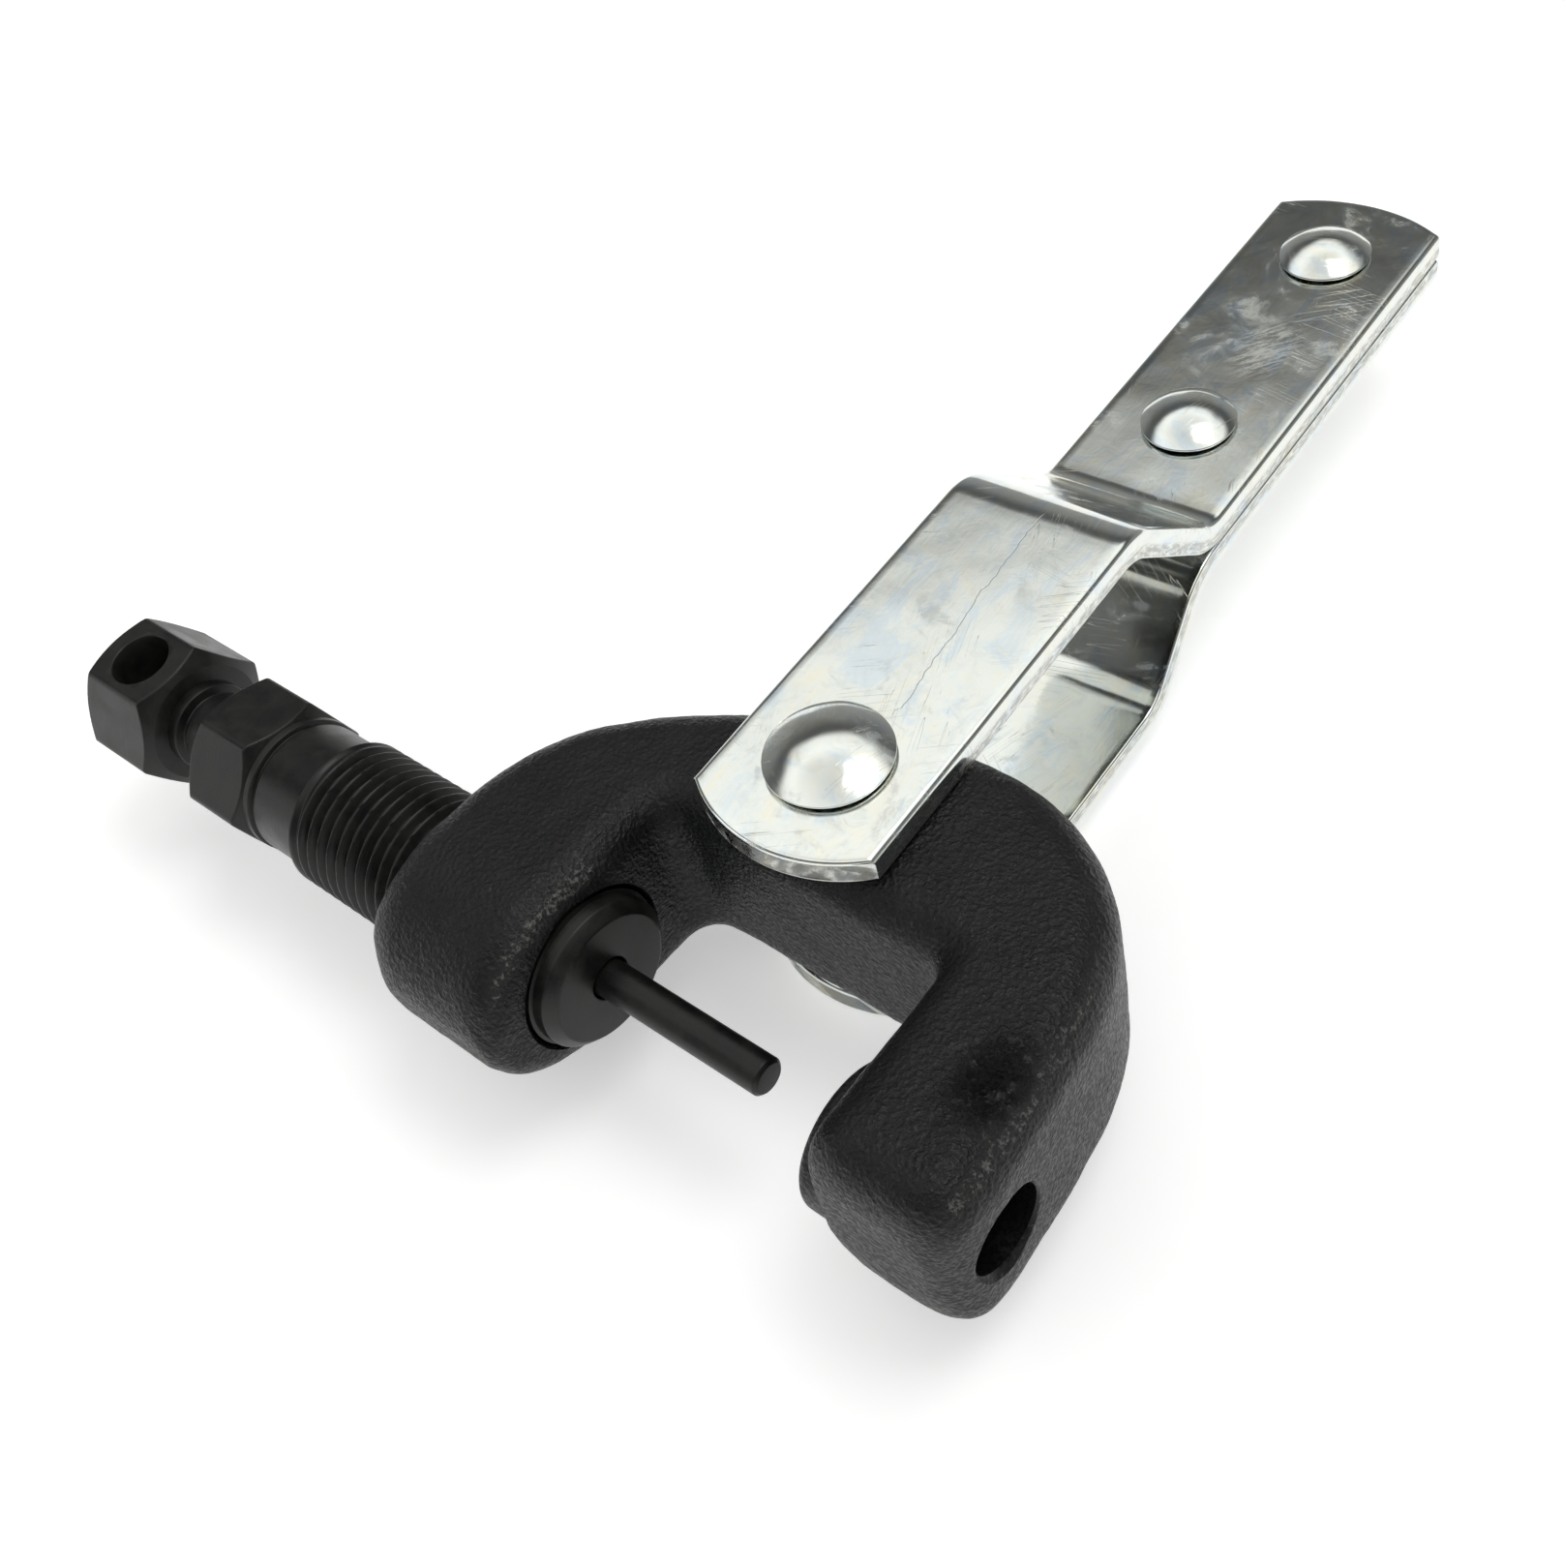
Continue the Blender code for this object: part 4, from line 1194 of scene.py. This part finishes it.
def spring_steel():
    """Plain drawn steel wire."""
    material, tree, shader, place = new_surface("spring_steel_look")
    drawn = noise_of(tree, stretch(tree, place, 3.0, 3.0, 3.0), 1.0, 3.0)
    colour = colour_mix(tree, between(tree, drawn, 0.35, 0.65), SPRING_DARK, SPRING_LIGHT)
    rough = between(tree, drawn, 0.3, 0.7, 0.25, 0.4)
    dress(tree, shader, colour, rough, bumped(tree, drawn, 0.01))
    shader.inputs["Metallic"].default_value = 1.0
    return material


# Studio.


def make_floor():
    mesh = bpy.data.meshes.new("floor")
    signs = ((-1, -1), (1, -1), (1, 1), (-1, 1))
    corners = [(x * FLOOR_HALF, y * FLOOR_HALF, 0.0) for x, y in signs]
    mesh.from_pydata(corners, [], [(0, 1, 2, 3)])
    floor = bpy.data.objects.new("floor", mesh)
    bpy.context.scene.collection.objects.link(floor)
    material, tree, shader, place = new_surface("pale_floor")
    paper = noise_of(tree, place, 0.4, 3.0)
    colour = colour_mix(tree, paper, (0.83, 0.83, 0.83), (0.85, 0.85, 0.85))
    tree.links.new(colour, shader.inputs["Base Color"])
    shader.inputs["Roughness"].default_value = 0.9
    shader.inputs["Specular IOR Level"].default_value = 0.1
    shader.inputs["Emission Color"].default_value = (1.0, 1.0, 1.0, 1.0)
    shader.inputs["Emission Strength"].default_value = FLOOR_GLOW
    mesh.materials.append(material)


def make_sky():
    """Soft surroundings: grey near the horizon, dark above it and bright overhead."""
    world = bpy.data.worlds.new("studio")
    bpy.context.scene.world = world
    world.use_nodes = True
    tree = world.node_tree
    background = tree.nodes["Background"]
    direction = add(tree, "ShaderNodeTexCoord").outputs["Generated"]
    height = add(tree, "ShaderNodeSeparateXYZ", {0: direction}).outputs["Z"]
    ramp = add(tree, "ShaderNodeValToRGB", {"Fac": height})
    stops = DARK_SKY + BRIGHT_SKY
    while len(ramp.color_ramp.elements) < len(stops):
        ramp.color_ramp.elements.new(0.5)
    for element, (position, grey) in zip(ramp.color_ramp.elements, stops):
        element.position = position
        element.color = (*(grey * share for share in SKY_TINT), 1.0)
    tree.links.new(ramp.outputs["Color"], background.inputs["Color"])
    background.inputs["Strength"].default_value = 1.0


def add_softbox(name, place, size, watts):
    """A rectangular light that faces the origin."""
    light = bpy.data.lights.new(name, "AREA")
    light.shape = "RECTANGLE"
    light.size, light.size_y = size
    light.energy = watts
    obj = bpy.data.objects.new(name, light)
    bpy.context.scene.collection.objects.link(obj)
    obj.location = place
    obj.rotation_euler = (-Vector(place)).to_track_quat("-Z", "Y").to_euler()


def make_studio():
    bpy.context.scene.view_settings.view_transform = "Standard"
    make_floor()
    make_sky()
    for softbox in SOFTBOXES:
        add_softbox(*softbox)


def make_camera():
    """The photograph's viewing angle, fixed to the pivot."""
    camera = bpy.data.cameras.new("camera")
    camera.sensor_width = 36.0
    camera.sensor_fit = "AUTO"
    camera.lens = CAMERA_LENS
    camera.clip_start = 0.01
    obj = bpy.data.objects.new("camera", camera)
    bpy.context.scene.collection.objects.link(obj)
    right = Vector(CAMERA_RIGHT)
    up = Vector(CAMERA_UP)
    back = right.cross(up)
    turning = Matrix((right, up, back)).transposed().to_4x4()
    stand = PIVOT + Vector(CAMERA_PLACE) * MM
    obj.matrix_world = Matrix.Translation(stand) @ turning
    bpy.context.scene.camera = obj


def main():
    cast = black_cast()
    oxide = black_oxide()
    strip = zinc_strip()
    head = zinc_rivet()
    make_cast_frame(cast)
    make_pressure_screw(oxide)
    make_drive_screw(oxide)
    make_extractor_pin(oxide)
    make_spring(spring_steel())
    make_strip("upper_strip", 1.0, UPPER_JOGGLE, UPPER_APEX, strip, "upper_handle_plate")
    make_strip("lower_strip", -1.0, LOWER_JOGGLE, LOWER_APEX, strip, "lower_handle_plate")
    front_grip = WEB_HALF + GAP + STRIP_THICKNESS
    rear_grip = 0.5 * GAP + STRIP_THICKNESS
    make_rivet("pivot_pin", 0.0, front_grip, PIVOT_SHANK, PIVOT_HEAD, head, "pivot_rivet")
    rear = (rear_grip, HANDLE_SHANK, HANDLE_HEAD, head)
    make_rivet("front_rivet", FRONT_RIVET, *rear, "front_handle_rivet")
    make_rivet("rear_rivet", REAR_RIVET, *rear, "rear_handle_rivet")
    make_studio()
    make_camera()


main()
